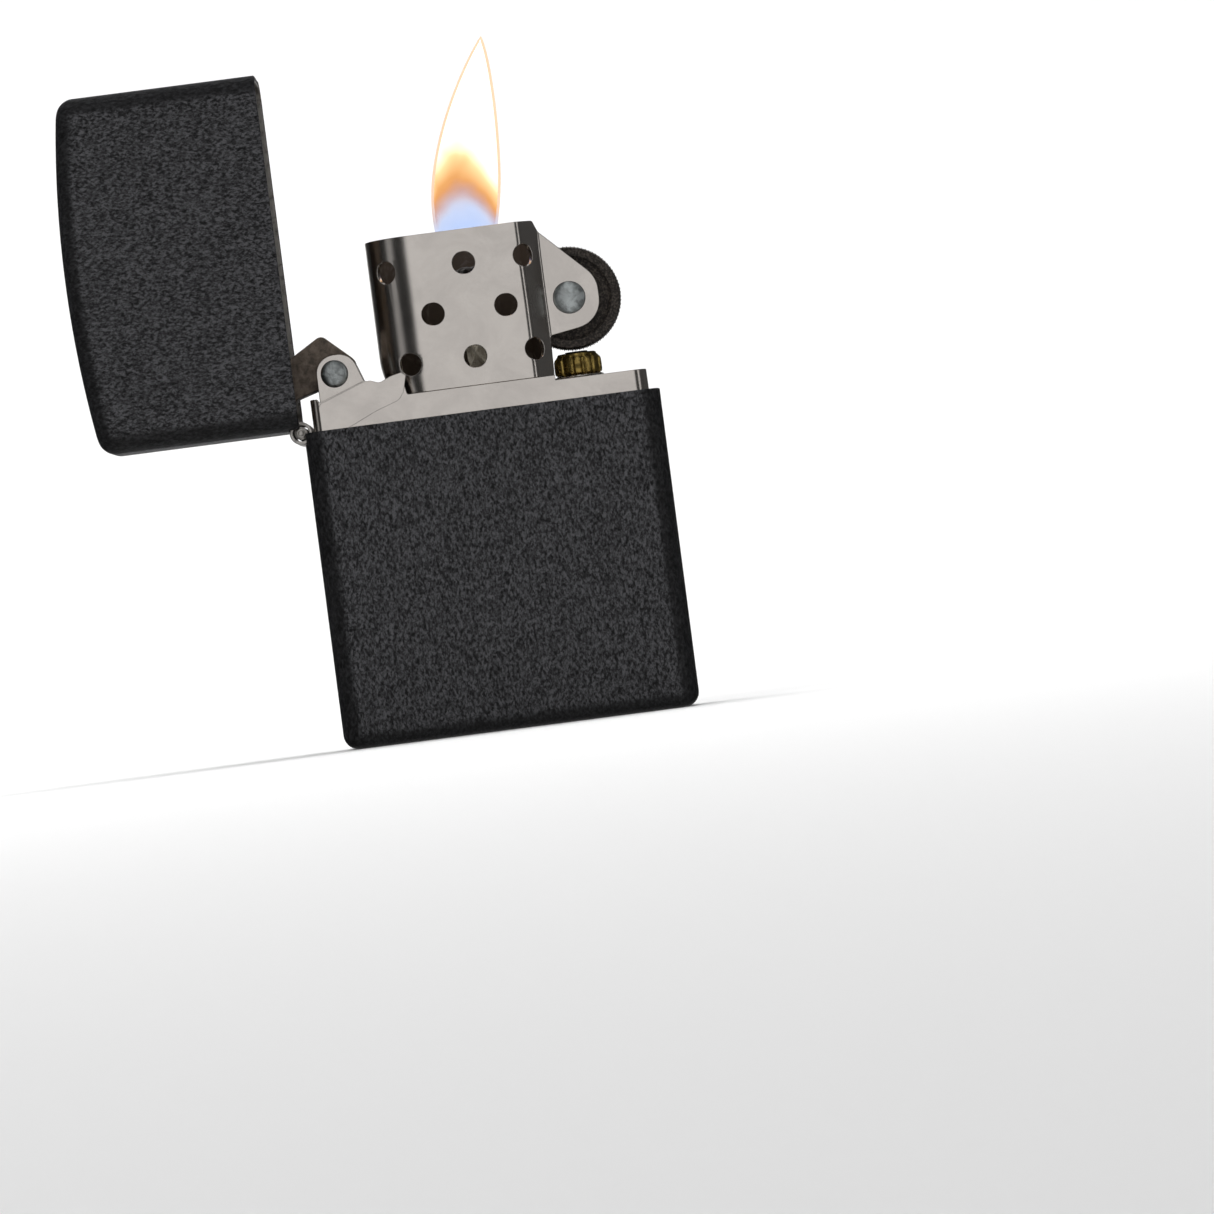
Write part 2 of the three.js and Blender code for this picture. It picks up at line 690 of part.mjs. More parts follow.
function camSpringRivet() {
  const { z, seat, headHeight } = SPRING_RIVET;
  const face = CAM_SPRING.x + CAM_SPRING.thickness / 2 + seat;
  const start = TANK.left + seat;
  const end = face + headHeight / 2;
  const shank = new THREE.CylinderGeometry(
    SPRING_RIVET.shank, SPRING_RIVET.shank, end - start, ROUND_SEGMENTS,
  );
  const head = new THREE.CylinderGeometry(
    SPRING_RIVET.head, SPRING_RIVET.head, headHeight, ROUND_SEGMENTS,
  );
  shank.rotateZ(Math.PI / 2).translate((end + start) / 2, 0, z);
  head.rotateZ(Math.PI / 2).translate(face + headHeight / 2, 0, z);
  return solid(shank).add(solid(head));
}

// ---------------------------------------------------------------------------------------------
// Striker: wheel, flint, tube, spring and screw
// ---------------------------------------------------------------------------------------------

function flintWheel() {
  const { x, z, radius, width, teeth, toothDepth } = WHEEL;
  const rim = new THREE.Shape();
  for (let i = 0; i < 2 * teeth; i++) {
    const angle = (Math.PI * i) / teeth;
    const reach = i % 2 ? radius - toothDepth : radius;
    const point = [x + reach * Math.cos(angle), z + reach * Math.sin(angle)];
    if (i === 0) rim.moveTo(...point);
    else rim.lineTo(...point);
  }
  rim.closePath();
  const hubHalf = WHEEL_EAR.outer - WHEEL_EAR.thickness - WHEEL.hubGap;
  let wheel = alongY(rim, -width / 2, width / 2);
  for (const face of [-1, 1]) {
    const floor = width / 2 - WHEEL.dishDepth;
    const dish = [face * floor, face * (width / 2 + BEYOND)].sort((a, b) => a - b);
    wheel = wheel.subtract(rodY(x, z, WHEEL.dishRadius, dish[0], dish[1], 48));
  }
  return wheel
    .add(rodY(x, z, WHEEL.hubRadius, -hubHalf, hubHalf, 32))
    .subtract(rodY(x, z, WHEEL_RIVET.shank + WHEEL_RIVET.clearance, -HALF_DEPTH, HALF_DEPTH));
}

// Brass tube with a fluted collar that stands on the cover.
function flintTube() {
  const x = FLINT.x;
  let collar = rodZ(x, 0, COLLAR.radius, COLLAR.bottom, COLLAR.top, 56);
  for (let i = 0; i < COLLAR.flutes; i++) {
    const angle = (2 * Math.PI * i) / COLLAR.flutes;
    const reach = COLLAR.radius + COLLAR.fluteRadius * 0.45;
    const fluteX = x + reach * Math.cos(angle);
    const fluteY = reach * Math.sin(angle);
    const flute = rodZ(fluteX, fluteY, COLLAR.fluteRadius, COLLAR.bottom - 1, COLLAR.top + 1, 10);
    collar = collar.subtract(flute);
  }
  return collar
    .add(rodZ(x, 0, COLLAR.lipRadius, COLLAR.bottom, TUBE.top))
    .add(rodZ(x, 0, TUBE.radius, TUBE.bottom, COLLAR.top))
    .subtract(rodZ(x, 0, TUBE.bore, TUBE.bottom - BEYOND, TUBE.top + BEYOND));
}

const flint = () => rodZ(FLINT.x, 0, FLINT.radius, FLINT.top - FLINT.length, FLINT.top);

const TIP_TOP = FLINT.top - FLINT.length - TIP.gap;
const TIP_BOTTOM = TIP_TOP - TIP.height;

const springTip = () =>
  rodZ(FLINT.x, 0, FLINT.radius, TIP_BOTTOM, TIP_TOP).add(
    rodZ(FLINT.x, 0, TIP.stem, TIP_BOTTOM - TIP.stemLength, TIP_TOP),
  );

function flintSpring() {
  const height = TIP_BOTTOM - COIL.topGap - COIL.bottom;
  class Helix extends THREE.Curve {
    getPoint(t, target = new THREE.Vector3()) {
      const angle = 2 * Math.PI * COIL.turns * t;
      return target.set(
        FLINT.x + COIL.radius * Math.cos(angle),
        COIL.radius * Math.sin(angle),
        COIL.bottom + height * t,
      );
    }
  }
  const section = new THREE.Shape().absarc(0, 0, COIL.wire, 0, 2 * Math.PI, false);
  const wire = new THREE.ExtrudeGeometry(section, {
    extrudePath: new Helix(),
    steps: COIL.turns * COIL.stepsPerTurn,
    curveSegments: 3,
    bevelEnabled: false,
  });
  return solid(wire);
}

function flintScrew() {
  const x = FLINT.x;
  const reach = SCREW.head + SCREW.notchOut;
  let head = rodZ(x, 0, SCREW.head, SCREW.headBottom, SCREW.headTop, 48);
  for (let i = 0; i < SCREW.notches; i++) {
    const angle = (2 * Math.PI * i) / SCREW.notches;
    const notchX = x + reach * Math.cos(angle);
    const notchY = reach * Math.sin(angle);
    head = head.subtract(rodZ(notchX, notchY, SCREW.notchRadius, 0, SCREW.headTop + 1, 8));
  }
  return head
    .subtract(box(x - SCREW.head - 1, x + SCREW.head + 1, -SCREW.slot / 2, SCREW.slot / 2,
      SCREW.headBottom - 1, SCREW.headBottom + SCREW.slotDepth))
    .add(rodZ(x, 0, SCREW.shank, SCREW.headTop - 0.2, SCREW.shankTop));
}

// ---------------------------------------------------------------------------------------------
// Wick, packing and felt
// ---------------------------------------------------------------------------------------------

const wick = () => rodZ(WICK.x, 0, WICK.radius, WICK.bottom, WICK.top, 20);

function packingLayer(i) {
  const low = PACKING.bottom + i * (PACKING.height + PACKING.gap);
  return alongZ(
    rectangle(PACKING.left, PACKING.right, -PACKING.halfDepth, PACKING.halfDepth, PACKING.cornerRadius),
    low,
    low + PACKING.height,
  )
    .subtract(rodZ(WICK.x, 0, WICK.radius + WICK.clearance, 0, TANK.rim, 20))
    .subtract(rodZ(FLINT.x, 0, TUBE.radius + PACKING.tubeClearance, 0, TANK.rim));
}

function feltPad() {
  const outline = rectangle(FELT.left, FELT.right, -FELT.halfDepth, FELT.halfDepth, FELT.cornerRadius);
  return alongZ(outline, FELT.bottom, FELT.top).subtract(
    rodZ(FLINT.x, 0, FELT.screwHole, 0, FELT.top + BEYOND, 32),
  );
}

// ---------------------------------------------------------------------------------------------
// Assembly
// ---------------------------------------------------------------------------------------------

const lighter = new THREE.Group();

const caseGroup = new THREE.Group();
caseGroup.add(
  node("case_shell", caseShell(), "crackle"),
  node("case_hinge_leaf", hingeLeaf(-1), "hinge"),
  node("hinge_pin", hingePin(), "hinge"),
);

// The lid's pieces are made closed, about the pin, and the pivot throws them open.
const lidPivot = new THREE.Group();
lidPivot.position.set(HINGE_X, 0, HINGE_Z);
lidPivot.rotation.y = -LID.openAngle;
for (const [name, made, material] of [
  ["lid_shell", lidShell(), "crackle"],
  ["lid_hinge_leaf", hingeLeaf(1), "hinge"],
]) {
  const piece = node(name, made, material);
  piece.position.set(-HINGE_X, 0, -HINGE_Z);
  lidPivot.add(piece);
}

const insertGroup = new THREE.Group();
insertGroup.add(
  node("insert_tank", insertTank(), "nickel"),
  node("tank_cover", tankCover(), "nickel"),
  node("chimney", chimney(), "nickel"),
  node("cam_bracket", camBracket(), "nickel"),
  node("cam_rivet", rivet(CAM.x, CAM.z, CAM_RIVET, CAM_EAR.outer), "rivet"),
  node("cam_spring", camSpring(), "spring"),
  node("cam_spring_rivet", camSpringRivet(), "rivet"),
  node("wheel_rivet", rivet(WHEEL.x, WHEEL.z, WHEEL_RIVET, WHEEL_EAR.outer), "rivet"),
  node("flint_tube", flintTube(), "brass"),
  node("flint_spring", flintSpring(), "spring"),
  node("wick", wick(), "cotton"),
  node("felt_pad", feltPad(), "felt"),
);
for (let i = 0; i < PACKING.layers; i++) {
  insertGroup.add(node(`packing_${i + 1}`, packingLayer(i), "cotton"));
}

const strikerGroup = new THREE.Group();
strikerGroup.add(
  node("flint_wheel", flintWheel(), "wheel"),
  node("flint", flint(), "flint"),
  node("flint_spring_tip", springTip(), "brass"),
  node("flint_screw", flintScrew(), "brass"),
);

const camGroup = new THREE.Group();
camGroup.add(node("cam", cam(), "cam"));

lighter.add(caseGroup, lidPivot, insertGroup, strikerGroup, camGroup);

export default lighter;
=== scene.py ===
"""The looks of a flip-top petrol lighter, built round its packed frame.

Run as a script in Blender. Pieces are modelled in millimetres about the frame's own origin and
brought to metres when they are finished. +Z is up, the hinge is on -X, the front looks along -Y.
"""
import math

import bmesh
import bpy
from bpy.props import FloatProperty, FloatVectorProperty, IntProperty, PointerProperty
from mathutils import Matrix, Vector, noise


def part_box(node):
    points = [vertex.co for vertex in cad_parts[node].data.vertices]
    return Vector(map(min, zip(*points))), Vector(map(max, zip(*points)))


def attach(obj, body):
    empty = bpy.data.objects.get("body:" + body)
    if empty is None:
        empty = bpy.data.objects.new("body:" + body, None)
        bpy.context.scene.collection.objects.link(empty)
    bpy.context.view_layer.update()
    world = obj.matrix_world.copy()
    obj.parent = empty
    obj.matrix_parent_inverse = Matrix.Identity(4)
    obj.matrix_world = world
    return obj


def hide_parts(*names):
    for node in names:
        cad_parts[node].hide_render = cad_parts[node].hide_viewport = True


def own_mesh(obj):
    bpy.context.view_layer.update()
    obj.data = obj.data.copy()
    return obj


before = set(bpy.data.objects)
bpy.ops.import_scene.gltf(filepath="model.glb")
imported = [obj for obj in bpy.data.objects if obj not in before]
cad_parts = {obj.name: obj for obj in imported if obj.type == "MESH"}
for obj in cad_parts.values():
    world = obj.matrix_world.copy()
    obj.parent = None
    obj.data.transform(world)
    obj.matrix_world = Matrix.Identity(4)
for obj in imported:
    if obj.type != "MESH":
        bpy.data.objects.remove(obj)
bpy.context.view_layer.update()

bl_info = {
    "name": "Flip-top lighter",
    "version": (1, 0, 0),
    "blender": (4, 5, 0),
    "location": "View3D > Sidebar > Lighter",
    "description": "Models the sheet metal, striker, wick and flame of a flip-top petrol lighter",
    "category": "Add Mesh",
}

MM = 0.001


def node_box(node):
    """The lowest and highest corners of a node of the frame, in millimetres."""
    return tuple(Vector(corner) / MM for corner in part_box(node))


def node_centre(node):
    """The middle of a node of the frame, in millimetres."""
    low, high = node_box(node)
    return (low + high) / 2


HINGE = node_centre("hinge_pin")
WHEEL = node_centre("flint_wheel")
CAM_PIVOT = node_centre("cam_rivet")
WICK = node_centre("wick")
FLINT = node_centre("flint")
THROWN_OPEN = (
    Matrix.Translation(HINGE) @ Matrix.Rotation(-math.pi / 2, 4, "Y") @ Matrix.Translation(-HINGE)
)


# ---------------------------------------------------------------------------------------------
# Sizes and colours
# ---------------------------------------------------------------------------------------------


def length(name, description, millimetres):
    """A size that is given in millimetres and kept in metres."""
    return FloatProperty(
        name=name,
        description=description,
        default=millimetres * MM,
        min=0.0,
        unit="LENGTH",
        precision=5,
    )


def colour(name, description, red, green, blue):
    return FloatVectorProperty(
        name=name,
        description=description,
        default=(red, green, blue),
        min=0.0,
        max=1.0,
        subtype="COLOR",
    )


class ShellSizes(bpy.types.PropertyGroup):
    """Case and lid"""

    wall: length("Wall", "Thickness of the case and the lid", 0.6)
    upright_radius: length("Upright edges", "Radius of the four upright edges", 2.4)
    edge_radius: length("End edges", "Radius round the bottom of the case and the top of the lid", 1.6)
    crown_radius: length("Crown", "Radius of the bow across the lid's top", 120.0)
    mouth_rim: length("Mouth rim", "Rounding of the coated edge at the mouth", 0.16)
    # The coat's two colours paint shade into the crackle: the deep colour is painted shade in the valleys
    # and cracks of the wrinkles.
    coat: colour("Coat", "Colour on the ridges of the crackle coat", 0.072, 0.072, 0.077)
    coat_painted_shade: colour("Coat, deep", "Colour in the valleys of the crackle coat", 0.002, 0.002, 0.0023)
    grain: length("Crackle size", "Width of one wrinkle of the coat", 0.42)
    grain_height: length("Crackle height", "How far the wrinkles stand up", 0.2)


class SheetSizes(bpy.types.PropertyGroup):
    """Tank and chimney"""

    tank_wall: length("Tank wall", "Thickness of the tank's sheet", 0.4)
    chimney_wall: length("Chimney wall", "Thickness of the chimney's sheet", 0.45)
    rim: length("Edge rounding", "Rounding left on cut edges by tumbling", 0.07)
    vent_radius: length("Vents", "Radius of the punched vents", 1.2)
    bend_step: FloatProperty(
        name="Bend step",
        description="Angle between two creases of a bend",
        default=math.radians(6),
        subtype="ANGLE",
    )
    metal: colour("Sheet metal", "Colour of the satin plated steel", 0.69, 0.645, 0.605)
    # Painted shade, laid on the inner faces of the tank and the chimney.
    inside_shade: colour("Soot", "Colour of the burnt metal inside the chimney", 0.085, 0.066, 0.05)
    rivet: colour("Rivets", "Colour of the rivet heads", 0.62, 0.66, 0.66)


class StrikerSizes(bpy.types.PropertyGroup):
    """Wheel, flint tube and cam"""

    teeth: IntProperty(name="Teeth", description="Rows of teeth round the wheel", default=84, min=12)
    tooth_height: length("Tooth height", "Depth of the cut between teeth", 0.32)
    flutes: IntProperty(name="Flutes", description="Flutes round the brass collar", default=14, min=3)
    flute_depth: length("Flute depth", "Depth of the collar's flutes", 0.22)
    wheel: colour("Wheel", "Colour of the hardened wheel", 0.022, 0.019, 0.017)
    brass: colour("Brass", "Colour of the aged brass", 0.46, 0.33, 0.1)
    cam: colour("Cam", "Colour of the cam's dull oxide", 0.125, 0.1, 0.08)


class FlameSizes(bpy.types.PropertyGroup):
    """Wick and flame"""

    half_width: length("Half width", "Half of the flame's width at its widest", 3.75)
    top: length("Tip height", "Height of the flame's tip above the base of the case", 73.9)
    lean: length("Lean", "How far the tip stands out from over the wick", 4.4)
    skin: length("Skin", "Depth of the flame's outer skin", 0.3)
    yellow: colour("Edge", "Colour at the flame's edge", 1.0, 0.53, 0.13)
    blue: colour("Root", "Colour at the flame's root", 0.2, 0.42, 0.95)


class StageSizes(bpy.types.PropertyGroup):
    """Camera and floor"""

    distance: length("Distance", "From the camera to the lighter", 700.0)
    field: length("Field", "Width of the view at the lighter", 129.8)
    aim_x: length("Aim across", "Sideways place of the middle of the view", 10.5)
    aim_z: length("Aim up", "Height of the middle of the view", 11.6)
    lean: FloatProperty(
        name="Lean",
        description="How far the lighter leans in the view",
        default=math.radians(7.4),
        subtype="ANGLE",
    )
    floor: colour("Floor", "Colour of the floor and backdrop", 0.86, 0.86, 0.86)


# ---------------------------------------------------------------------------------------------
# Working by hand
# ---------------------------------------------------------------------------------------------


def take(obj):
    """Makes one object the only selected one."""
    bpy.ops.object.select_all(action="DESELECT")
    obj.select_set(True)
    bpy.context.view_layer.objects.active = obj
    return obj


class Editing:
    """Edit mode on one object, entered with nothing selected."""

    def __init__(self, obj, kind="EDGE"):
        self.obj = obj
        self.kind = kind

    def __enter__(self):
        take(self.obj)
        bpy.ops.object.mode_set(mode="EDIT")
        bpy.ops.mesh.select_mode(type=self.kind)
        bpy.ops.mesh.select_all(action="DESELECT")
        return self

    def __exit__(self, *_):
        bpy.ops.object.mode_set(mode="OBJECT")

    def pick(self, test):
        """Selects the vertices, edges or faces that pass a test, and nothing else."""
        bpy.ops.mesh.select_all(action="DESELECT")
        mesh = bmesh.from_edit_mesh(self.obj.data)
        found = 0
        for item in {"VERT": mesh.verts, "EDGE": mesh.edges, "FACE": mesh.faces}[self.kind]:
            if test(item):
                item.select_set(True)
                found += 1
        mesh.select_flush_mode()
        bmesh.update_edit_mesh(self.obj.data)
        if not found:
            raise RuntimeError(f"{self.obj.name}: nothing to work on")
        return self

    def everything(self):
        bpy.ops.mesh.select_all(action="SELECT")
        return self


def modify(obj, kind, **settings):
    """Adds a modifier, sets it and applies it."""
    take(obj)
    modifier = obj.modifiers.new(kind.lower(), kind)
    for name, value in settings.items():
        setattr(modifier, name, value)
    bpy.ops.object.modifier_apply(modifier=modifier.name)
    return obj


def cut_across(obj, places, along):
    """Cuts a mesh across one axis at several places, so that it can bend there."""
    normal = tuple(1 if axis == along else 0 for axis in range(3))
    with Editing(obj) as work:
        for place in places:
            work.everything()
            bpy.ops.mesh.bisect(plane_co=[place * part for part in normal], plane_no=normal)
    return obj


def clean(obj, gap=0.002):
    """Merges doubles and turns every face outwards."""
    with Editing(obj) as work:
        work.everything()
        bpy.ops.mesh.remove_doubles(threshold=gap)
        bpy.ops.mesh.normals_make_consistent(inside=False)
    return obj


def block(low, high):
    """A box between two corners."""
    low, high = Vector(low), Vector(high)
    bpy.ops.mesh.primitive_cube_add(size=1, location=(low + high) / 2, scale=high - low)
    obj = bpy.context.object
    bpy.ops.object.transform_apply(location=True, rotation=True, scale=True)
    return obj


def join(*pieces):
    """Joins several objects into the first."""
    take(pieces[0])
    for piece in pieces[1:]:
        piece.select_set(True)
    bpy.ops.object.join()
    return pieces[0]


def twin(obj, matrix):
    """A copy with its own mesh, moved by a matrix."""
    copy = obj.copy()
    copy.data = obj.data.copy()
    bpy.context.collection.objects.link(copy)
    copy.data.transform(matrix)
    if matrix.determinant() < 0:
        copy.data.flip_normals()
    return copy


def mirrored(obj):
    """Adds the same shape on the far side of the middle plane."""
    return join(obj, twin(obj, Matrix.Scale(-1, 4, (0, 1, 0))))


def moved(obj, matrix):
    obj.data.transform(matrix)
    return obj


def cut(obj, tool):
    """Cuts one solid away from another."""
    modify(obj, "BOOLEAN", operation="DIFFERENCE", object=tool, solver="EXACT")
    bpy.data.objects.remove(tool)
    return obj


def settle(obj, name, body, materials, replaced=(), angle=38, weighted=True):
    """Finishes a piece: its name, its metres, its shading, its materials and the body it rides on."""
    obj.name = obj.data.name = name
    obj.data.transform(Matrix.Scale(MM, 4))
    if obj.data.materials:
        obj.data.materials.clear()
    for material in materials:
        obj.data.materials.append(material)
    take(obj)
    bpy.ops.object.shade_smooth_by_angle(angle=math.radians(angle))
    if weighted:
        modify(obj, "WEIGHTED_NORMAL", keep_sharp=True, weight=60)
    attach(obj, body)
    if replaced:
        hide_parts(*replaced)
    return obj


def line_inside(obj, lining):
    """Gives a box's inner faces a second material."""
    obj.data.materials.append(lining)
    corners = [Vector(corner) for corner in obj.bound_box]
    middle = sum(corners, Vector()) / len(corners)
    for face in obj.data.polygons:
        if face.normal.dot(face.center - middle) < 0:
            face.material_index = 1


def curve_mesh(name, lines, closed, **settings):
    """Draws one or more lines of (x, y) or (x, y, z) points as a curve and makes it a mesh."""
    curve = bpy.data.curves.new(name, "CURVE")
    for setting, value in settings.items():
        setattr(curve, setting, value)
    for line in lines:
        spline = curve.splines.new("POLY")
        spline.points.add(len(line) - 1)
        for point, place in zip(spline.points, line):
            point.co = (*place, 0, 1) if len(place) == 2 else (*place, 1)
        spline.use_cyclic_u = closed
    obj = bpy.data.objects.new(name, curve)
    bpy.context.collection.objects.link(obj)
    take(obj)
    bpy.ops.object.convert(target="MESH")
    return bpy.context.object


# ---------------------------------------------------------------------------------------------
# Outlines, blanks and folded sheet
# ---------------------------------------------------------------------------------------------


def ring(x, y, radius, steps=44):
    """Points round a circle."""
    turns = [2 * math.pi * i / steps for i in range(steps)]
    return [(x + radius * math.cos(a), y + radius * math.sin(a)) for a in turns]


def rounded(corners, steps=9):
    """Points round a closed outline of (x, y) or (x, y, radius) corners."""
    points = []
    for i, (x, y, *radius) in enumerate(corners):
        corner = Vector((x, y))
        if not radius:
            points.append(tuple(corner))
            continue
        back = (Vector(corners[i - 1][:2]) - corner).normalized()
        ahead = (Vector(corners[(i + 1) % len(corners)][:2]) - corner).normalized()
        half = math.acos(max(-1, min(1, back.dot(ahead)))) / 2
        centre = corner + (back + ahead).normalized() * radius[0] / math.sin(half)
        start = corner + back * radius[0] / math.tan(half) - centre
        sweep = math.copysign(math.pi - 2 * half, back.x * ahead.y - back.y * ahead.x)
        for step in range(steps + 1):
            points.append(tuple(centre + Matrix.Rotation(-sweep * step / steps, 2) @ start))
    return points


def blank(outline, holes, thickness, rim):
    """A flat plate in X and Y about Z = 0, punched and with every edge rounded over."""
    plate = curve_mesh(
        "blank",
        [outline, *holes],
        True,
        dimensions="2D",
        fill_mode="BOTH",
        extrude=thickness / 2 - rim,
        bevel_depth=rim,
        bevel_resolution=2,
        offset=-rim,
    )
    with Editing(plate) as work:
        work.everything()
        bpy.ops.mesh.remove_doubles(threshold=0.001)
        bpy.ops.mesh.dissolve_limited(angle_limit=math.radians(0.1))
        bpy.ops.mesh.normals_make_consistent(inside=False)
    return plate


class Path:
    """Straights and bends in a plane, from (x, y) or (x, y, bend radius) corners."""

    def __init__(self, corners):
        self.parts = []
        self.size = 0.0
        here = Vector(corners[0][:2])
        for i in range(1, len(corners)):
            corner = Vector(corners[i][:2])
            heading = corner - here
            angle = math.atan2(heading.y, heading.x)
            turn, radius, trim = 0.0, 0.0, 0.0
            if i < len(corners) - 1 and len(corners[i]) > 2:
                ahead = Vector(corners[i + 1][:2]) - corner
                turn = math.atan2(ahead.y, ahead.x) - angle
                turn = (turn + math.pi) % (2 * math.pi) - math.pi
                radius = corners[i][2]
                trim = radius * math.tan(abs(turn) / 2)
            straight = heading.length - trim
            self.add(here, angle, straight, 0.0)
            here = here + heading.normalized() * straight
            if turn:
                bend = math.copysign(1 / radius, turn)
                self.add(here, angle, radius * abs(turn), bend)
                here = self.at(self.size)[0]

    def add(self, start, angle, distance, bend):
        self.parts.append((self.size, distance, start.copy(), angle, bend))
        self.size += distance

    def at(self, distance, offset=0.0):
        """The place at a distance along the path and an offset to its left, and the heading."""
        part = self.parts[0]
        for each in self.parts:
            if distance >= each[0] - 1e-9:
                part = each
        begun, _, start, angle, bend = part
        along = distance - begun
        now = angle + bend * along
        if bend:
            place = start + Vector(
                ((math.sin(now) - math.sin(angle)) / bend, (math.cos(angle) - math.cos(now)) / bend)
            )
        else:
            place = start + Vector((math.cos(angle), math.sin(angle))) * along
        return place + Vector((-math.sin(now), math.cos(now))) * offset, now

    def creases(self, step):
        """Distances at which a sheet is creased to follow the bends."""
        found = []
        for begun, distance, _, _, bend in self.parts:
            if bend:
                count = max(2, math.ceil(distance * abs(bend) / step))
                found += [begun + distance * i / count for i in range(count + 1)]
        return found

    def far_side(self, points):
        """The same points on the other half of a symmetrical path, in reverse order."""
        return [(self.size - s, z, *radius) for s, z, *radius in reversed(points)]

    def reach(self, x):
        """The distance at which the first half of the path passes a value of x."""
        steps = 4000
        half = self.size / 2
        return min(
            (half * i / steps for i in range(steps + 1)), key=lambda s: abs(self.at(s)[0].x - x)
        )


def fold(sheet, path, step, place):
    """Folds a blank along a path. Its X runs along the path and its Y goes to place's third value."""
    cut_across(sheet, path.creases(step), 0)
    for vertex in sheet.data.vertices:
        spot, _ = path.at(vertex.co.x, vertex.co.z)
        vertex.co = place(spot.x, spot.y, vertex.co.y)
    return sheet


def upright(x, y, height):
    return Vector((x, y, height))


def across(x, z, y):
    return Vector((x, y, z))


def plate(outline, holes, thickness, rim, y):
    """A plate that stands in X and Z with its middle at a depth of y."""
    made = blank(outline, holes, thickness, rim)
    return moved(made, Matrix.Translation((0, y, 0)) @ Matrix.Rotation(math.pi / 2, 4, "X"))


def turned(profile, steps=72):
    """A piece turned about Z from (radius, height) points."""
    made = curve_mesh("turned", [[(r, 0, h) for r, h in profile]], False, dimensions="3D")
    with Editing(made) as work:
        work.everything()
        bpy.ops.mesh.spin(steps=steps, angle=2 * math.pi, center=(0, 0, 0), axis=(0, 0, 1))
    return clean(made)


def both_ways(half):
    """A profile followed by its mirror image below the middle."""
    return [*half, *[(radius, -height) for radius, height in reversed(half)]]


def laid_along_y(obj, x, z):
    """Lays a piece that was turned about Z along Y, through x and z."""
    return moved(obj, Matrix.Translation((x, 0, z)) @ Matrix.Rotation(math.pi / 2, 4, "X"))


def draw_in(vertex, reach, sunk):
    """Moves a vertex that is a reach away from the Z axis towards it."""
    vertex.co.x *= 1 - sunk / reach
    vertex.co.y *= 1 - sunk / reach


# ---------------------------------------------------------------------------------------------
# Finishes
# ---------------------------------------------------------------------------------------------


class Value:
    """A socket that can stand in ordinary sums."""

    def __init__(self, finish, socket):
        self.finish = finish
        self.socket = socket

    def sum(self, operation, *terms):
        return self.finish.node("ShaderNodeMath", {"operation": operation}, dict(enumerate(terms)))

    def __add__(self, other):
        return self.sum("ADD", self, other)

    def __sub__(self, other):
        return self.sum("SUBTRACT", self, other)

    def __rsub__(self, other):
        return self.sum("SUBTRACT", other, self)

    def __mul__(self, other):
        return self.sum("MULTIPLY", self, other)

    def __truediv__(self, other):
        return self.sum("DIVIDE", self, other)

    def __pow__(self, other):
        return self.sum("POWER", self, other)

    def __abs__(self):
        return self.sum("ABSOLUTE", self)

    __radd__ = __add__
    __rmul__ = __mul__

    def sine(self):
        return self.sum("SINE", self)

    def least(self, other):
        return self.sum("MINIMUM", self, other)

    def most(self, other):
        return self.sum("MAXIMUM", self, other)

    def rise(self, low, high, bottom=0.0, top=1.0):
        """Goes smoothly from bottom to top while this goes from low to high."""
        ends = {"From Min": low, "From Max": high, "To Min": bottom, "To Max": top}
        settings = {"interpolation_type": "SMOOTHSTEP"}
        return self.finish.node("ShaderNodeMapRange", settings, {"Value": self, **ends})


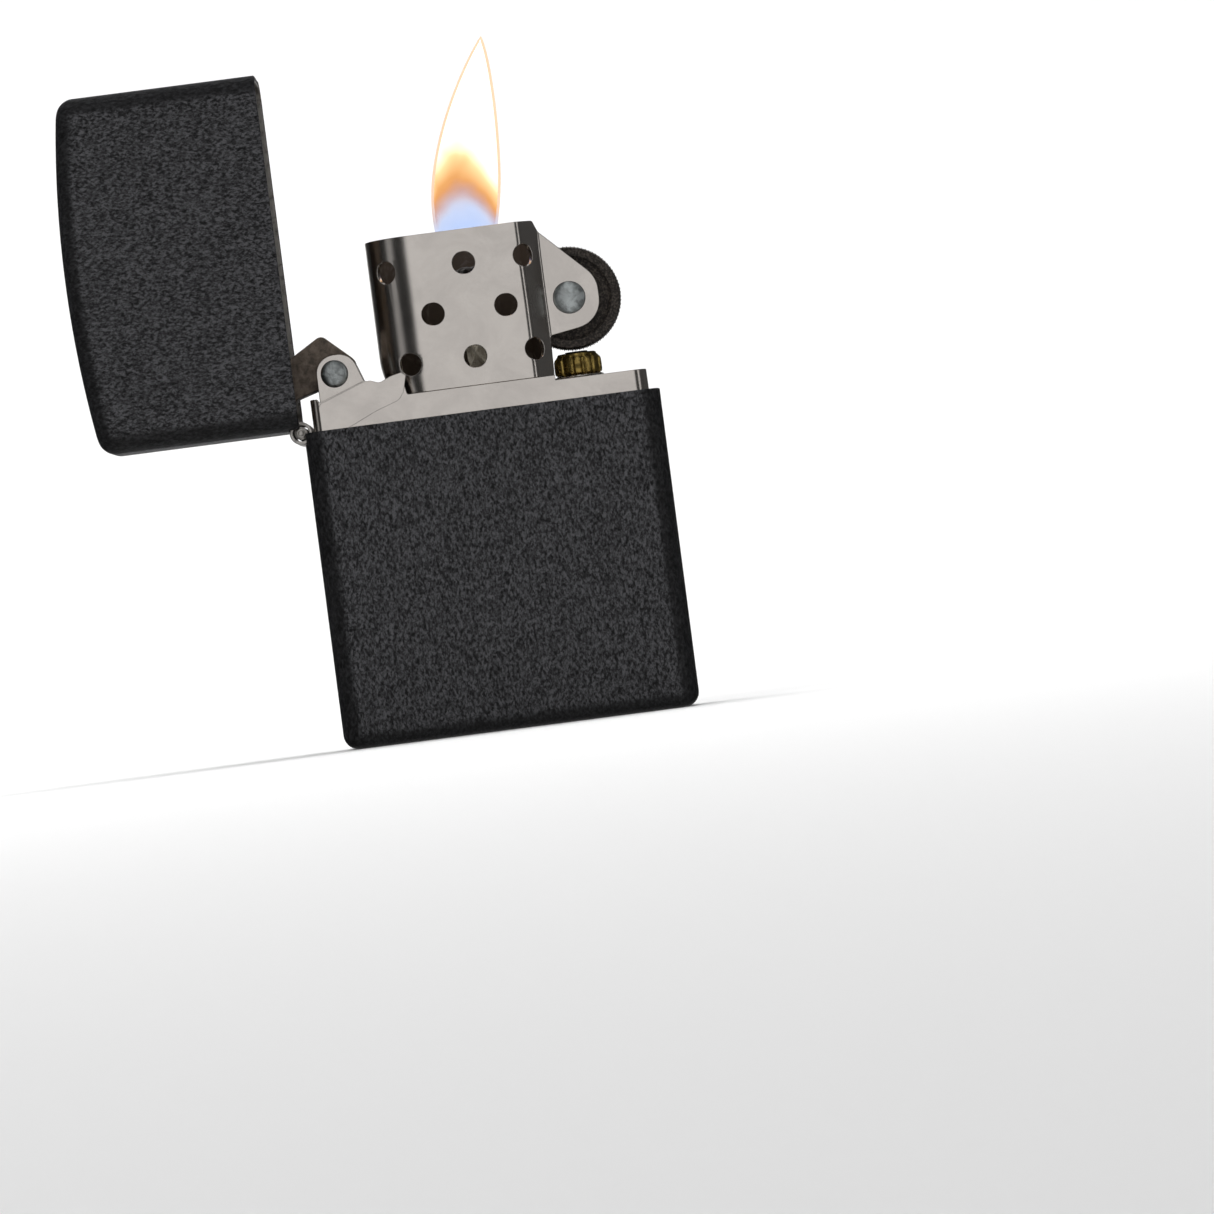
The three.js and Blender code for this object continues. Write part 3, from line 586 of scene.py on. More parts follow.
class Finish:
    """One material and its nodes."""

    def __init__(self, name):
        self.material = bpy.data.materials.new(name)
        self.material.use_nodes = True
        self.tree = self.material.node_tree
        self.shader = self.tree.nodes["Principled BSDF"]
        self.place = self.node("ShaderNodeTexCoord", output="Object")

    def node(self, kind, settings=None, inputs=None, output=0):
        """Adds a node. A ramp's stops are (position, colour) pairs."""
        made = self.tree.nodes.new(kind)
        for name, value in (settings or {}).items():
            if name != "stops":
                setattr(made, name, value)
                continue
            ramp = made.color_ramp
            while len(ramp.elements) < len(value):
                ramp.elements.new(1.0)
            for element, (position, tint) in zip(ramp.elements, value):
                element.position = position
                element.color = (*tint, 1.0)
        for name, value in (inputs or {}).items():
            self.feed(made.inputs[name], value)
        return Value(self, made.outputs[output])

    def feed(self, socket, value):
        if isinstance(value, Value):
            self.tree.links.new(value.socket, socket)
        elif isinstance(value, (tuple, list)) and len(value) == 3 and socket.type == "RGBA":
            socket.default_value = (*value, 1.0)
        else:
            socket.default_value = value

    def spread(self, scale=(1, 1, 1), origin=(0, 0, 0), turn=(0, 0, 0)):
        """Object coordinates, moved to an origin in millimetres, turned and stretched."""
        centred = self.node(
            "ShaderNodeVectorMath",
            {"operation": "SUBTRACT"},
            {0: self.place, 1: tuple(o * MM for o in origin)},
        )
        inputs = {"Vector": centred, "Scale": scale, "Rotation": turn}
        return self.node("ShaderNodeMapping", {"vector_type": "POINT"}, inputs)

    def noise(self, size, detail=3.0, roughness=0.55, distortion=0.0, vector=None):
        """Noise whose blotches are about a size in millimetres across."""
        inputs = {
            "Vector": vector or self.place,
            "Scale": 1 / (size * MM),
            "Detail": detail,
            "Roughness": roughness,
            "Distortion": distortion,
        }
        return self.node("ShaderNodeTexNoise", {}, inputs)

    def cells(self, size):
        """The distance to the nearest of scattered points that are a size in millimetres apart."""
        values = {"Vector": self.place, "Scale": 1 / (size * MM)}
        return self.node("ShaderNodeTexVoronoi", {"feature": "F1"}, values)

    def mix(self, factor, first, second):
        """A colour between two colours."""
        inputs = {"Factor": factor, 6: first, 7: second}
        return self.node("ShaderNodeMix", {"data_type": "RGBA"}, inputs, output=2)

    def split(self, vector):
        """The three values of a vector."""
        made = self.node("ShaderNodeSeparateXYZ", {}, {0: vector})
        return tuple(Value(self, out) for out in made.socket.node.outputs)

    def relief(self, height, strength, distance):
        """Bump from a height, with its full depth in millimetres."""
        inputs = {"Height": height, "Strength": strength, "Distance": distance * MM}
        self.feed(self.shader.inputs["Normal"], self.node("ShaderNodeBump", {}, inputs))

    def set(self, **sockets):
        """Feeds the shader's own sockets, named with underscores for spaces."""
        for name, value in sockets.items():
            self.feed(self.shader.inputs[name.replace("_", " ")], value)
        return self


def dimmed(tint, share):
    """A colour with every part of it multiplied by a share."""
    return tuple(part * share for part in tint)


FINISHES = {}


def finish(make):
    """Keeps one material for each finish, made the first time it is asked for."""

    def kept(*values):
        key = (make.__name__, *values)
        if key not in FINISHES:
            FINISHES[key] = make(*values).material
        return FINISHES[key]

    return kept


@finish
def crackle_coat(name, quarter_turns):
    """Black wrinkled powder coat. The wrinkles run up the closed lighter and fade on rounded edges. Its
    colour carries painted shade: dark in the valleys and cracks of the wrinkles, lighter on their ridges,
    and darker on the rounded edges.
    """
    sizes = bpy.context.scene.lighter_shell
    coat = Finish(name)
    turn = (0, quarter_turns * math.pi / 2, 0)
    standing = coat.spread(origin=tuple(HINGE), turn=turn)
    x, y, z = (value / MM for value in coat.split(standing))
    x = x + HINGE.x
    upright_edge = abs(x).rise(16.7, 17.6).least(abs(y).rise(4.1, 4.9))
    base_edge = (z + HINGE.z).rise(1.0, 1.9, 1.0, 0.0)
    crown_edge = (z + x * x / (2 * sizes.crown_radius / MM)).rise(20.8, 21.6)
    smooth = upright_edge.most(base_edge).most(crown_edge)

    grain = sizes.grain / MM
    drawn_out = coat.node(
        "ShaderNodeMapping",
        {"vector_type": "POINT"},
        {"Vector": standing, "Scale": (1, 1, 0.62), "Rotation": (0.7, 0.45, 0.9)},
    )
    wrinkle = coat.noise(grain * 1.9, 2.0, 0.5, 0.8, drawn_out)
    crack = abs(wrinkle - 0.5).rise(0.0, 0.07)
    pebble = coat.noise(grain * 0.66, 2.0, 0.6, 0.2, drawn_out)
    speck = coat.noise(grain * 0.34, 1.0, 0.5, 0.0, drawn_out)
    height = pebble * 0.75 + speck * 0.25
    coat.relief((height + crack * 0.12) * (1 - smooth * 0.8), 1.0, sizes.grain_height / MM)
    # Painted shade: the colour goes dark in the valleys and cracks of the wrinkles and on the rounded edges.
    tone = height.rise(0.34, 0.66) * (crack * 0.5 + 0.5) * (1 - smooth * 0.75)
    shade = coat.mix(tone, tuple(sizes.coat_painted_shade), tuple(sizes.coat))
    coat.set(
        Base_Color=shade,
        Roughness=0.46 - tone * 0.1 + smooth * 0.06,
        Specular_IOR_Level=0.26,
        IOR=1.5,
    )
    return coat


@finish
def satin_sheet(name, shaded_inside):
    """Satin plated steel: a fine grain and faint smudges. On inner faces it carries painted shade: dark
    brown blotches, duller and less metallic.
    """
    sizes = bpy.context.scene.lighter_sheet
    sheet = Finish(name)
    grain = sheet.noise(0.16, 4.0, 0.7)
    smudge = sheet.noise(5.5, 4.0, 0.6, 0.6)
    drawn = sheet.noise(0.12, 2.0, 0.5, 0.0, sheet.spread((1, 1, 0.12)))
    speck = sheet.cells(0.55).rise(0.06, 0.14, 1.0, 0.0)
    metal = tuple(sizes.metal)
    light = tuple(min(1.0, c * 1.06) for c in metal)
    dark = dimmed(metal, 0.9)
    shade = sheet.mix(smudge.rise(0.3, 0.7), dark, light)
    shade = sheet.mix(speck * smudge.rise(0.45, 0.7) * 0.5, shade, dimmed(metal, 0.72))
    roughness = 0.15 + smudge * 0.08 + grain * 0.06
    # Painted shade: the inner faces of the tank and the chimney are painted dark brown in blotches.
    if shaded_inside:
        shaded = sheet.noise(2.2, 4.0, 0.65, 0.8)
        mask = shaded.rise(0.18, 0.5, 0.62, 1.0)
        shade = sheet.mix(mask, shade, tuple(sizes.inside_shade))
        roughness = 0.3 + mask * 0.3
        sheet.set(Metallic=1 - mask * 0.45)
    else:
        sheet.set(Metallic=1.0)
    sheet.relief(grain * 0.5 + drawn * 0.5, 0.16, 0.02)
    sheet.set(Base_Color=shade, Roughness=roughness)
    return sheet


@finish
def spun_metal(name, centre_x, centre_z):
    """A rivet's head: faint turning rings and a cloudy dome."""
    sizes = bpy.context.scene.lighter_sheet
    spun = Finish(name)
    x, _, z = spun.split(spun.spread(origin=(centre_x, 0, centre_z)))
    radius = (x * x + z * z) ** 0.5
    rings = (radius * (2 * math.pi / (0.16 * MM))).sine()
    cloud = spun.noise(1.1, 4.0, 0.6, 0.5)
    scratch = spun.noise(0.14, 3.0, 0.6)
    shade = spun.mix(cloud.rise(0.36, 0.62), dimmed(sizes.rivet, 0.42), tuple(sizes.rivet))
    spun.relief(rings * 0.25 + scratch * 0.5 + cloud * 1.4, 0.35, 0.04)
    spun.set(Base_Color=shade, Metallic=1.0, Roughness=0.22 + cloud * 0.2)
    return spun


@finish
def hardened_wheel(name):
    """Blackened steel with turning marks on its sides and brighter tooth tips."""
    sizes = bpy.context.scene.lighter_striker
    wheel = Finish(name)
    x, _, z = wheel.split(wheel.spread(origin=tuple(WHEEL)))
    radius = (x * x + z * z) ** 0.5
    radius_mm = radius / MM
    rings = (radius_mm * (2 * math.pi / 0.3)).sine()
    grit = wheel.noise(0.22, 4.0, 0.65)
    tips = radius_mm.rise(5.46, 5.6)
    dark = tuple(sizes.wheel)
    shade = wheel.mix(tips * grit.rise(0.35, 0.6), dark, dimmed(dark, 4.2))
    shade = wheel.mix(grit.rise(0.42, 0.66) * 0.75, shade, (0.12, 0.1, 0.085))
    wheel.relief(rings * 0.16 + grit * 0.6, 0.6, 0.05)
    wheel.set(Base_Color=shade, Metallic=0.55, Roughness=0.5 + grit * 0.16)
    return wheel


@finish
def aged_brass(name):
    """Brass that has browned where fingers don't reach."""
    sizes = bpy.context.scene.lighter_striker
    brass = Finish(name)
    age = brass.noise(1.3, 5.0, 0.65, 0.8)
    scratch = brass.noise(0.1, 3.0, 0.6, 0.0, brass.spread((1, 1, 0.2)))
    mask = age.rise(0.42, 0.68)
    shade = brass.mix(mask, tuple(sizes.brass), dimmed(sizes.brass, 0.34))
    shade = brass.mix(age.rise(0.62, 0.74) * 0.7, shade, (0.07, 0.045, 0.02))
    brass.relief(scratch * 0.5 + age * 0.5, 0.3, 0.03)
    brass.set(Base_Color=shade, Metallic=1.0, Roughness=0.26 + mask * 0.26)
    return brass


@finish
def cam_oxide(name):
    """Sintered steel with a dull brown-grey skin."""
    sizes = bpy.context.scene.lighter_striker
    skin = Finish(name)
    mottle = skin.noise(0.8, 5.0, 0.7, 0.4)
    pits = skin.noise(0.2, 4.0, 0.7)
    cam = tuple(sizes.cam)
    shade = skin.mix(mottle.rise(0.3, 0.7), dimmed(cam, 0.55), dimmed(cam, 1.5))
    skin.relief(pits * 0.6 + mottle * 0.4, 0.55, 0.06)
    skin.set(Base_Color=shade, Metallic=0.5, Roughness=0.55 + pits * 0.15)
    return skin


@finish
def plain_steel(name, tone, roughness):
    """Drawn or rolled steel for springs, the pin and the hinge, with a little grime."""
    steel = Finish(name)
    grime = steel.noise(0.9, 4.0, 0.65, 0.5)
    scratch = steel.noise(0.09, 3.0, 0.6)
    bright = (tone, tone * 0.955, tone * 0.9)
    shade = steel.mix(grime.rise(0.46, 0.72), bright, dimmed(bright, 0.4))
    steel.relief(scratch, 0.2, 0.02)
    steel.set(Base_Color=shade, Metallic=1.0, Roughness=roughness + grime * 0.2)
    return steel


@finish
def flint_alloy(name):
    """Cast ferrocerium, dark and grainy."""
    alloy = Finish(name)
    grain = alloy.noise(0.18, 5.0, 0.7)
    shade = alloy.mix(grain.rise(0.3, 0.7), (0.05, 0.05, 0.055), (0.16, 0.155, 0.16))
    alloy.relief(grain, 0.6, 0.06)
    alloy.set(Base_Color=shade, Metallic=0.7, Roughness=0.55 + grain * 0.2)
    return alloy


@finish
def wick_fibre(name):
    """Braided glass and cotton, charred at the top and oiled lower down."""
    fibre = Finish(name)
    _, _, z = fibre.split(fibre.place)
    strand = fibre.noise(0.12, 4.0, 0.7, 0.3)
    char = (z / MM + fibre.noise(0.9, 4.0, 0.6) * 3.0).rise(47.4, 50.2)
    shade = fibre.mix(strand.rise(0.3, 0.7), (0.52, 0.45, 0.33), (0.78, 0.73, 0.62))
    shade = fibre.mix(char, shade, (0.012, 0.01, 0.009))
    fibre.relief(strand, 0.7, 0.08)
    fibre.set(Base_Color=shade, Roughness=0.9, Sheen_Weight=0.25)
    return fibre


@finish
def loose_cotton(name, tone):
    """Cotton or felt: matted fibres with soft lumps."""
    cotton = Finish(name)
    lumps = cotton.noise(1.6, 5.0, 0.65, 0.9)
    fibres = cotton.noise(0.16, 4.0, 0.75, 1.4)
    pale = (tone, tone * 0.965, tone * 0.89)
    shade = cotton.mix(lumps.rise(0.25, 0.75), dimmed(pale, 0.78), pale)
    shade = cotton.mix(fibres.rise(0.3, 0.55, 0.35, 0.0), shade, dimmed(pale, 0.5))
    cotton.relief(lumps * 0.5 + fibres * 0.5, 0.8, 0.2)
    cotton.set(Base_Color=shade, Roughness=0.96, Sheen_Weight=0.5, Sheen_Roughness=0.6)
    return cotton


CHIMNEY_TOP = 53.4
FLAME_HEIGHT = 20.5


def burning(name, wisp_size, ripple, arch, stops, strength):
    """A glow that changes up the flame and sooner at its edges. Gives its finish and two heights."""
    flame = Finish(name)
    x, _, z = flame.split(flame.spread(origin=(WICK.x, 0, CHIMNEY_TOP)))
    wisp = flame.noise(wisp_size, 1.0, 0.5, ripple)
    tall = z / MM
    rise = (tall + (x / MM) * (x / MM) * arch + wisp * 2.4 - 1.2) / FLAME_HEIGHT
    glow = flame.node("ShaderNodeValToRGB", {"stops": stops}, {"Fac": rise})
    flame.set(Base_Color=(0, 0, 0), Specular_IOR_Level=0.0, Roughness=1.0)
    flame.set(Emission_Color=glow, Emission_Strength=strength)
    return flame, tall, rise


@finish
def flame_mantle(name):
    """The flame's outer skin: blue at the root, then orange and yellow."""
    sizes = bpy.context.scene.lighter_flame
    stops = [
        (0.0, tuple(sizes.blue)),
        (0.12, (0.35, 0.5, 0.9)),
        (0.19, (0.5, 0.34, 0.42)),
        (0.26, (0.9, 0.38, 0.1)),
        (0.42, (1.0, 0.5, 0.1)),
        (1.0, tuple(sizes.yellow)),
    ]
    flame, tall, rise = burning(name, 3.0, 0.3, 0.24, stops, 1.0)
    return flame.set(Alpha=rise.rise(0.08, 0.3, 0.4, 0.36) * tall.rise(-1.8, 0.6))


@finish
def flame_core(name):
    """The flame's bright middle, fading out towards the root."""
    stops = [
        (0.0, (0.2, 0.04, 0.01)),
        (0.2, (0.26, 0.09, 0.03)),
        (0.28, (0.36, 0.17, 0.06)),
        (0.38, (0.6, 0.44, 0.24)),
        (0.5, (1.0, 0.94, 0.8)),
        (1.0, (1.0, 1.0, 0.95)),
    ]
    flame, _, rise = burning(name, 3.4, 0.4, 0.3, stops, 2.4)
    return flame.set(Alpha=rise.rise(0.14, 0.34))


@finish
def studio_paper(name):
    """The pale floor and backdrop."""
    sizes = bpy.context.scene.lighter_stage
    paper = Finish(name)
    tooth = paper.noise(2.0, 3.0, 0.5)
    pale = tuple(sizes.floor)
    paper.set(Base_Color=paper.mix(tooth * 0.15, pale, dimmed(pale, 0.97)), Roughness=0.9)
    return paper


# ---------------------------------------------------------------------------------------------
# Case, lid and hinge
# ---------------------------------------------------------------------------------------------

KNUCKLE_ROOM = 0.1


def round_upright(obj, radius):
    """Rounds the four upright edges of a box."""
    with Editing(obj) as work:
        work.pick(lambda e: abs(e.verts[0].co.z - e.verts[1].co.z) > 1)
        bpy.ops.mesh.bevel(offset=radius, offset_type="OFFSET", segments=14, affect="EDGES")


def round_end(obj, radius, sign):
    """Rounds the edge between the end face that looks along sign times Z and the sides."""

    def at_end(edge):
        level = [face.normal.z * sign > 0.7 for face in edge.link_faces]
        return len(level) == 2 and level[0] != level[1]

    with Editing(obj) as work:
        work.pick(at_end)
        bpy.ops.mesh.bevel(offset=radius, offset_type="OFFSET", segments=9, affect="EDGES")


def open_end(obj, sign):
    """Takes away the end face that looks along sign times Z."""
    with Editing(obj, "FACE") as work:
        work.pick(lambda f: f.normal.z * sign > 0.9)
        bpy.ops.mesh.delete(type="FACE")


def give_wall(obj, wall, mouth_z, rim):
    """Gives an open box its wall, inwards, and rounds the two edges of its mouth."""
    modify(obj, "SOLIDIFY", thickness=wall, offset=-1, use_even_offset=True, use_quality_normals=True)

    def at_mouth(edge):
        flat = [abs(face.normal.z) > 0.9 for face in edge.link_faces]
        level = all(abs(v.co.z - mouth_z) < 1e-3 for v in edge.verts)
        return level and len(flat) == 2 and flat[0] != flat[1]

    with Editing(obj) as work:
        work.pick(at_mouth)
        bpy.ops.mesh.bevel(offset=rim, offset_type="OFFSET", segments=3, affect="EDGES")


def hinge_slot(obj):
    """Cuts the slot that the knuckles turn in."""
    knuckle = node_box("case_hinge_leaf")
    reach = HINGE.x - knuckle[0].x + KNUCKLE_ROOM
    half = knuckle[1].y + KNUCKLE_ROOM
    low = (HINGE.x - 3, -half, HINGE.z - reach)
    high = (HINGE.x + reach, half, HINGE.z + reach)
    return cut(obj, block(low, high))


class LIGHTER_OT_case(bpy.types.Operator):
    """Models the case: a drawn box with a crackle coat"""

    bl_idname = "lighter.case"
    bl_label = "Case"

    def execute(self, context):
        sizes = context.scene.lighter_shell
        low, high = node_box("case_shell")
        box = block(low, high)
        round_upright(box, sizes.upright_radius / MM)
        round_end(box, sizes.edge_radius / MM, -1)
        open_end(box, 1)
        give_wall(box, sizes.wall / MM, high.z, sizes.mouth_rim / MM)
        hinge_slot(box)
        coat = crackle_coat("case coat", 0)
        settle(box, "case_box", "case", [coat], ["case_shell"])
        line_inside(box, plain_steel("bare inside", 0.42, 0.3))
        return {"FINISHED"}


class LIGHTER_OT_lid(bpy.types.Operator):
    """Models the lid closed, with its bowed top, and throws it open"""

    bl_idname = "lighter.lid"
    bl_label = "Lid"

    def execute(self, context):
        sizes = context.scene.lighter_shell
        low, high = node_box("lid_shell")
        closed_low = THROWN_OPEN.inverted() @ Vector((high.x, low.y, low.z))
        closed_high = THROWN_OPEN.inverted() @ Vector((low.x, high.y, high.z))
        box = block(closed_low, closed_high)
        round_upright(box, sizes.upright_radius / MM)
        flat = closed_high.x - sizes.upright_radius / MM
        cuts = 26
        cut_across(box, [-flat + 2 * flat * i / cuts for i in range(1, cuts)], 0)
        crown = sizes.crown_radius / MM
        for vertex in box.data.vertices:
            if vertex.co.z > closed_low.z + 1:
                vertex.co.z -= crown - math.sqrt(crown**2 - vertex.co.x**2)
        round_end(box, sizes.edge_radius / MM, 1)
        open_end(box, -1)
        give_wall(box, sizes.wall / MM, closed_low.z, sizes.mouth_rim / MM)
        hinge_slot(box)
        moved(box, THROWN_OPEN)
        coat = crackle_coat("lid coat", 1)
        settle(box, "lid_box", "lid", [coat], ["lid_shell"])
        line_inside(box, plain_steel("bare inside", 0.42, 0.3))
        return {"FINISHED"}


class LIGHTER_OT_hinge(bpy.types.Operator):
    """Models the two hinge leaves, rolled round the pin, and the peened pin"""

    bl_idname = "lighter.hinge"
    bl_label = "Hinge"

    def execute(self, context):
        steel = plain_steel("hinge plate", 0.62, 0.28)
        low, high = node_box("case_hinge_leaf")
        radius = HINGE.x - low.x
        half = high.y
        sheet, gap, knuckles = 0.34, 0.1, 5
        middle = radius - sheet / 2
        pitch = (2 * half + gap) / knuckles
        leaf_x = HINGE.x + middle
        flat_half, flat_end, roll_from = 3.8, 6.7, 8.0
        leaves = (
            ("hinge_leaf_case", "case", "case_hinge_leaf"),
            ("hinge_leaf_lid", "lid", "lid_hinge_leaf"),
        )
        for own, (name, body, node) in enumerate(leaves):
            roll = math.radians(318)
            path = Path([(leaf_x, HINGE.z - roll_from), (leaf_x, HINGE.z)])
            path.add(Vector((leaf_x, HINGE.z)), math.pi / 2, middle * roll, 1 / middle)
            outline = [(0.0, -flat_half, 0.8), (flat_end, -flat_half)]
            for i in range(own, knuckles, 2):
                start = -half + i * pitch
                end = start + pitch - gap
                outline += [(flat_end, start), (path.size, start), (path.size, end), (flat_end, end)]
            outline += [(flat_end, flat_half), (0.0, flat_half, 0.8)]
            welds = [ring(2.6, y, 0.55, 20) for y in (-1.9, 1.9)]
            leaf = blank(rounded(outline), welds, sheet, 0.06)
            fold(leaf, path, math.radians(9), across)
            if body == "lid":
                upside_down = Matrix.Translation(HINGE) @ Matrix.Scale(-1, 4, (0, 0, 1))
                moved(leaf, upside_down @ Matrix.Translation(-HINGE))
                leaf.data.flip_normals()
                moved(leaf, THROWN_OPEN)
            settle(leaf, name, body, [steel], [node])
        low, high = node_box("hinge_pin")
        pin_radius = radius - sheet - 0.17
        end = high.y
        profile = [
            (0, end - 0.2),
            (0.24, end - 0.16),
            (0.32, end - 0.02),
            (0.44, end),
            (pin_radius, end - 0.14),
        ]
        pin = laid_along_y(turned(both_ways(profile), 48), HINGE.x, HINGE.z)
        settle(pin, "pin_peened", "case", [steel], ["hinge_pin"], weighted=False)
        return {"FINISHED"}


# ---------------------------------------------------------------------------------------------
# Tank, cover and chimney
# ---------------------------------------------------------------------------------------------

RIM_Z = 36.7
SHOULDER_Z = 36.2
CREASE = ((-16.9, 37.0), (-12.1, 38.7))


class LIGHTER_OT_tank(bpy.types.Operator):
    """Folds the tank from one strip, with the sheet that sweeps up to the cam"""

    bl_idname = "lighter.tank"
    bl_label = "Tank"

    def execute(self, context):
        sizes = context.scene.lighter_sheet
        low, high = node_box("insert_tank")
        wall = sizes.tank_wall / MM
        rim = sizes.rim / MM
        left, right = low.x + wall / 2, high.x - wall / 2
        deep = high.y - wall / 2
        path = Path(
            [
                (right, 0),
                (right, -deep, 1.4),
                (left, -deep, 0.8),
                (left, deep, 0.8),
                (right, deep, 1.4),
                (right, 0),
            ]
        )
        top = [
            (18.1, SHOULDER_Z),
            (8.2, SHOULDER_Z),
            (8.2, RIM_Z),
            (-7.6, RIM_Z, 0.25),
            (-7.9, 38.3, 0.3),
            (-9.3, 38.5, 0.4),
            (-10.1, 38.1, 0.5),
            (-11.2, 38.6, 0.4),
            (CREASE[1][0], CREASE[1][1], 0.2),
            CREASE[0],
            (-17.2, 37.4, 0.15),
        ]
        front = [(0.0, low.z), (0.0, SHOULDER_Z)]
        front += [(path.reach(x) if x < 18 else 5.0, z, *radius) for x, z, *radius in top[1:]]
        outline = rounded([*front, *path.far_side(front)][::-1], 6)
        sheet = blank(outline, [], wall, rim)
        sort_sides(sheet, wall)
        fold(sheet, path, sizes.bend_step, upright)
        taper_from = 34.2
        for vertex in sheet.data.vertices:
            if vertex.co.x > 14 and vertex.co.z > taper_from:
                drawn_in = (vertex.co.z - taper_from) / (SHOULDER_Z - taper_from)
                vertex.co.x -= 0.42 * drawn_in**2 * (vertex.co.x - 14) / (right - 14)
        # The sheet that the chimney's end is drawn from laps over the tank's face.
        lap_thickness = 0.2
        lap = rounded(
            [
                (-17.1, 30.0),
                (-14.6, 30.0),
                (-14.6, 33.8, 0.6),
                (-11.1, 35.35, 3.0),
                (-8.55, 36.2, 0.9),
                (-7.95, 37.0, 0.8),
                (-7.5, 38.72),
                (-7.95, 39.1),
                (-9.2, 38.82, 0.5),
                (-10.4, 38.3, 0.8),
                (-11.35, 38.68, 0.5),
                (-12.1, 38.58, 0.3),
                (-16.85, 36.9, 0.1),
                (-17.1, 36.5, 0.2),
            ],
            6,
        )
        flap = plate(lap, [], lap_thickness, 0.05, -(high.y - lap_thickness / 2 + 0.05))
        flap = mirrored(flap)
        # The second material paints shade on the sheet's inner side.
        metal = [satin_sheet("tank sheet", False), satin_sheet("tank inside", True)]
        settle(join(sheet, flap), "tank_sheet", "insert", metal, ["insert_tank"])
        return {"FINISHED"}


def sort_sides(sheet, wall):
    """Marks the faces on a blank's inner side for its second material."""
    for face in sheet.data.polygons:
        face.material_index = 1 if face.center.z < -wall / 2 + 1e-3 else 0


class LIGHTER_OT_chimney(bpy.types.Operator):
    """Punches the chimney's blank and folds it, from one wheel ear round to the other"""

    bl_idname = "lighter.chimney"
    bl_label = "Chimney"

    def execute(self, context):
        sizes = context.scene.lighter_sheet
        low, high = node_box("chimney")
        wall = sizes.chimney_wall / MM
        rim = sizes.rim / MM
        vent = sizes.vent_radius / MM
        ear_y = 3.25 - wall / 2
        deep = high.y - wall / 2
        left = low.x + wall / 2
        end_radius = 4.8 - wall / 2
        start = high.x + 1
        path = Path(
            [
                (start, -ear_y),
                (8.1, -ear_y, 0.75),
                (6.2, -deep, 0.75),
                (left, -deep, end_radius),
                (left, deep, end_radius),
                (6.2, deep, 0.75),
                (8.1, ear_y, 0.75),
                (start, ear_y),
            ]
        )
        flat_end = path.reach(left + end_radius)
        inside_foot, outside_foot = 36.2, RIM_Z + 0.03
        front = [
            (flat_end + 1.6, inside_foot),
            (flat_end + 1.6, outside_foot),
            (path.reach(6.4), outside_foot),
            (path.reach(6.4), inside_foot),
            (path.reach(8.0), inside_foot),
            (path.reach(8.2), 41.0, 0.4),
            (start - high.x, 41.87, 3.0),
            (start - high.x, 46.6, 3.2),
            (path.reach(8.3), 52.2, 0.3),
            (path.reach(7.7), high.z, 0.4),
        ]
        # The back wall's rows are staggered against the front wall's.
        middle, pitch, last = 0.1, 3.9, 6.5
        rows = ((49.8, 0.66), (44.8, 0.5), (39.8, 0.33))
        rivet_bore = ring(start - WHEEL.x, WHEEL.z, 1.1)
        holes = [rivet_bore, [(path.size - s, z) for s, z in rivet_bore]]
        for row, (z, tilt) in enumerate(rows):
            wide = [flat_end + end_radius * tilt, path.reach(middle), path.reach(last)]
            narrow = [path.reach(middle - pitch), path.reach(middle + pitch)]
            in_front, behind = (wide, narrow) if row % 2 == 0 else (narrow, wide)
            holes += [ring(s, z, vent) for s in in_front]
            holes += [ring(path.size - s, z, vent) for s in behind]
        sheet = blank(rounded([*front, *path.far_side(front)], 10), holes, wall, rim)
        sort_sides(sheet, wall)
        neck_top, neck_in, neck_from, rises = 41.0, 0.055, -6, 10
        neck = neck_top - inside_foot
        cut_across(sheet, [inside_foot + neck * i / rises for i in range(1, rises + 1)], 1)
        fold(sheet, path, sizes.bend_step, upright)
        for vertex in sheet.data.vertices:
            if vertex.co.x < neck_from and vertex.co.z < neck_top:
                reach = (neck_from - vertex.co.x) / (neck_from - low.x)
                vertex.co.x += neck_in * reach * (neck_top - vertex.co.z) ** 2
        # The second material paints shade on the sheet's inner side.
        metal = [satin_sheet("chimney sheet", False), satin_sheet("chimney inside", True)]
        settle(sheet, "chimney_sheet", "insert", metal, ["chimney"])
        return {"FINISHED"}


class LIGHTER_OT_cover(bpy.types.Operator):
    """Models the plate below the chimney, with its pressed boss for the flint tube"""

    bl_idname = "lighter.cover"
    bl_label = "Cover plate"

    def execute(self, context):
        low, high = node_box("tank_cover")
        base = SHOULDER_Z - 0.05
        thickness = base - low.z
        corners = [(low.x, low.y), (high.x, low.y), (high.x, high.y), (low.x, high.y)]
        outline = rounded([(x, y, 0.8) for x, y in corners])
        holes = [ring(FLINT.x, 0, 2.2), ring(WICK.x, 0, 1.72)]
        made = blank(outline, holes, thickness, 0.06)
        moved(made, Matrix.Translation((0, 0, low.z + thickness / 2)))
        boss = turned(
            [
                (1.95, low.z),
                (1.95, high.z),
                (2.35, high.z),
                (2.62, high.z - 0.1),
                (2.75, high.z - 0.32),
                (2.95, base + 0.04),
                (3.1, base + 0.01),
                (3.1, base - 0.1),
                (1.95, low.z),
            ]
        )
        moved(boss, Matrix.Translation((FLINT.x, 0, 0)))
        metal = [satin_sheet("cover plate", False)]
        settle(join(made, boss), "cover_plate", "insert", metal, ["tank_cover"])
        return {"FINISHED"}


# ---------------------------------------------------------------------------------------------
# Cam, rivets and striker
# ---------------------------------------------------------------------------------------------


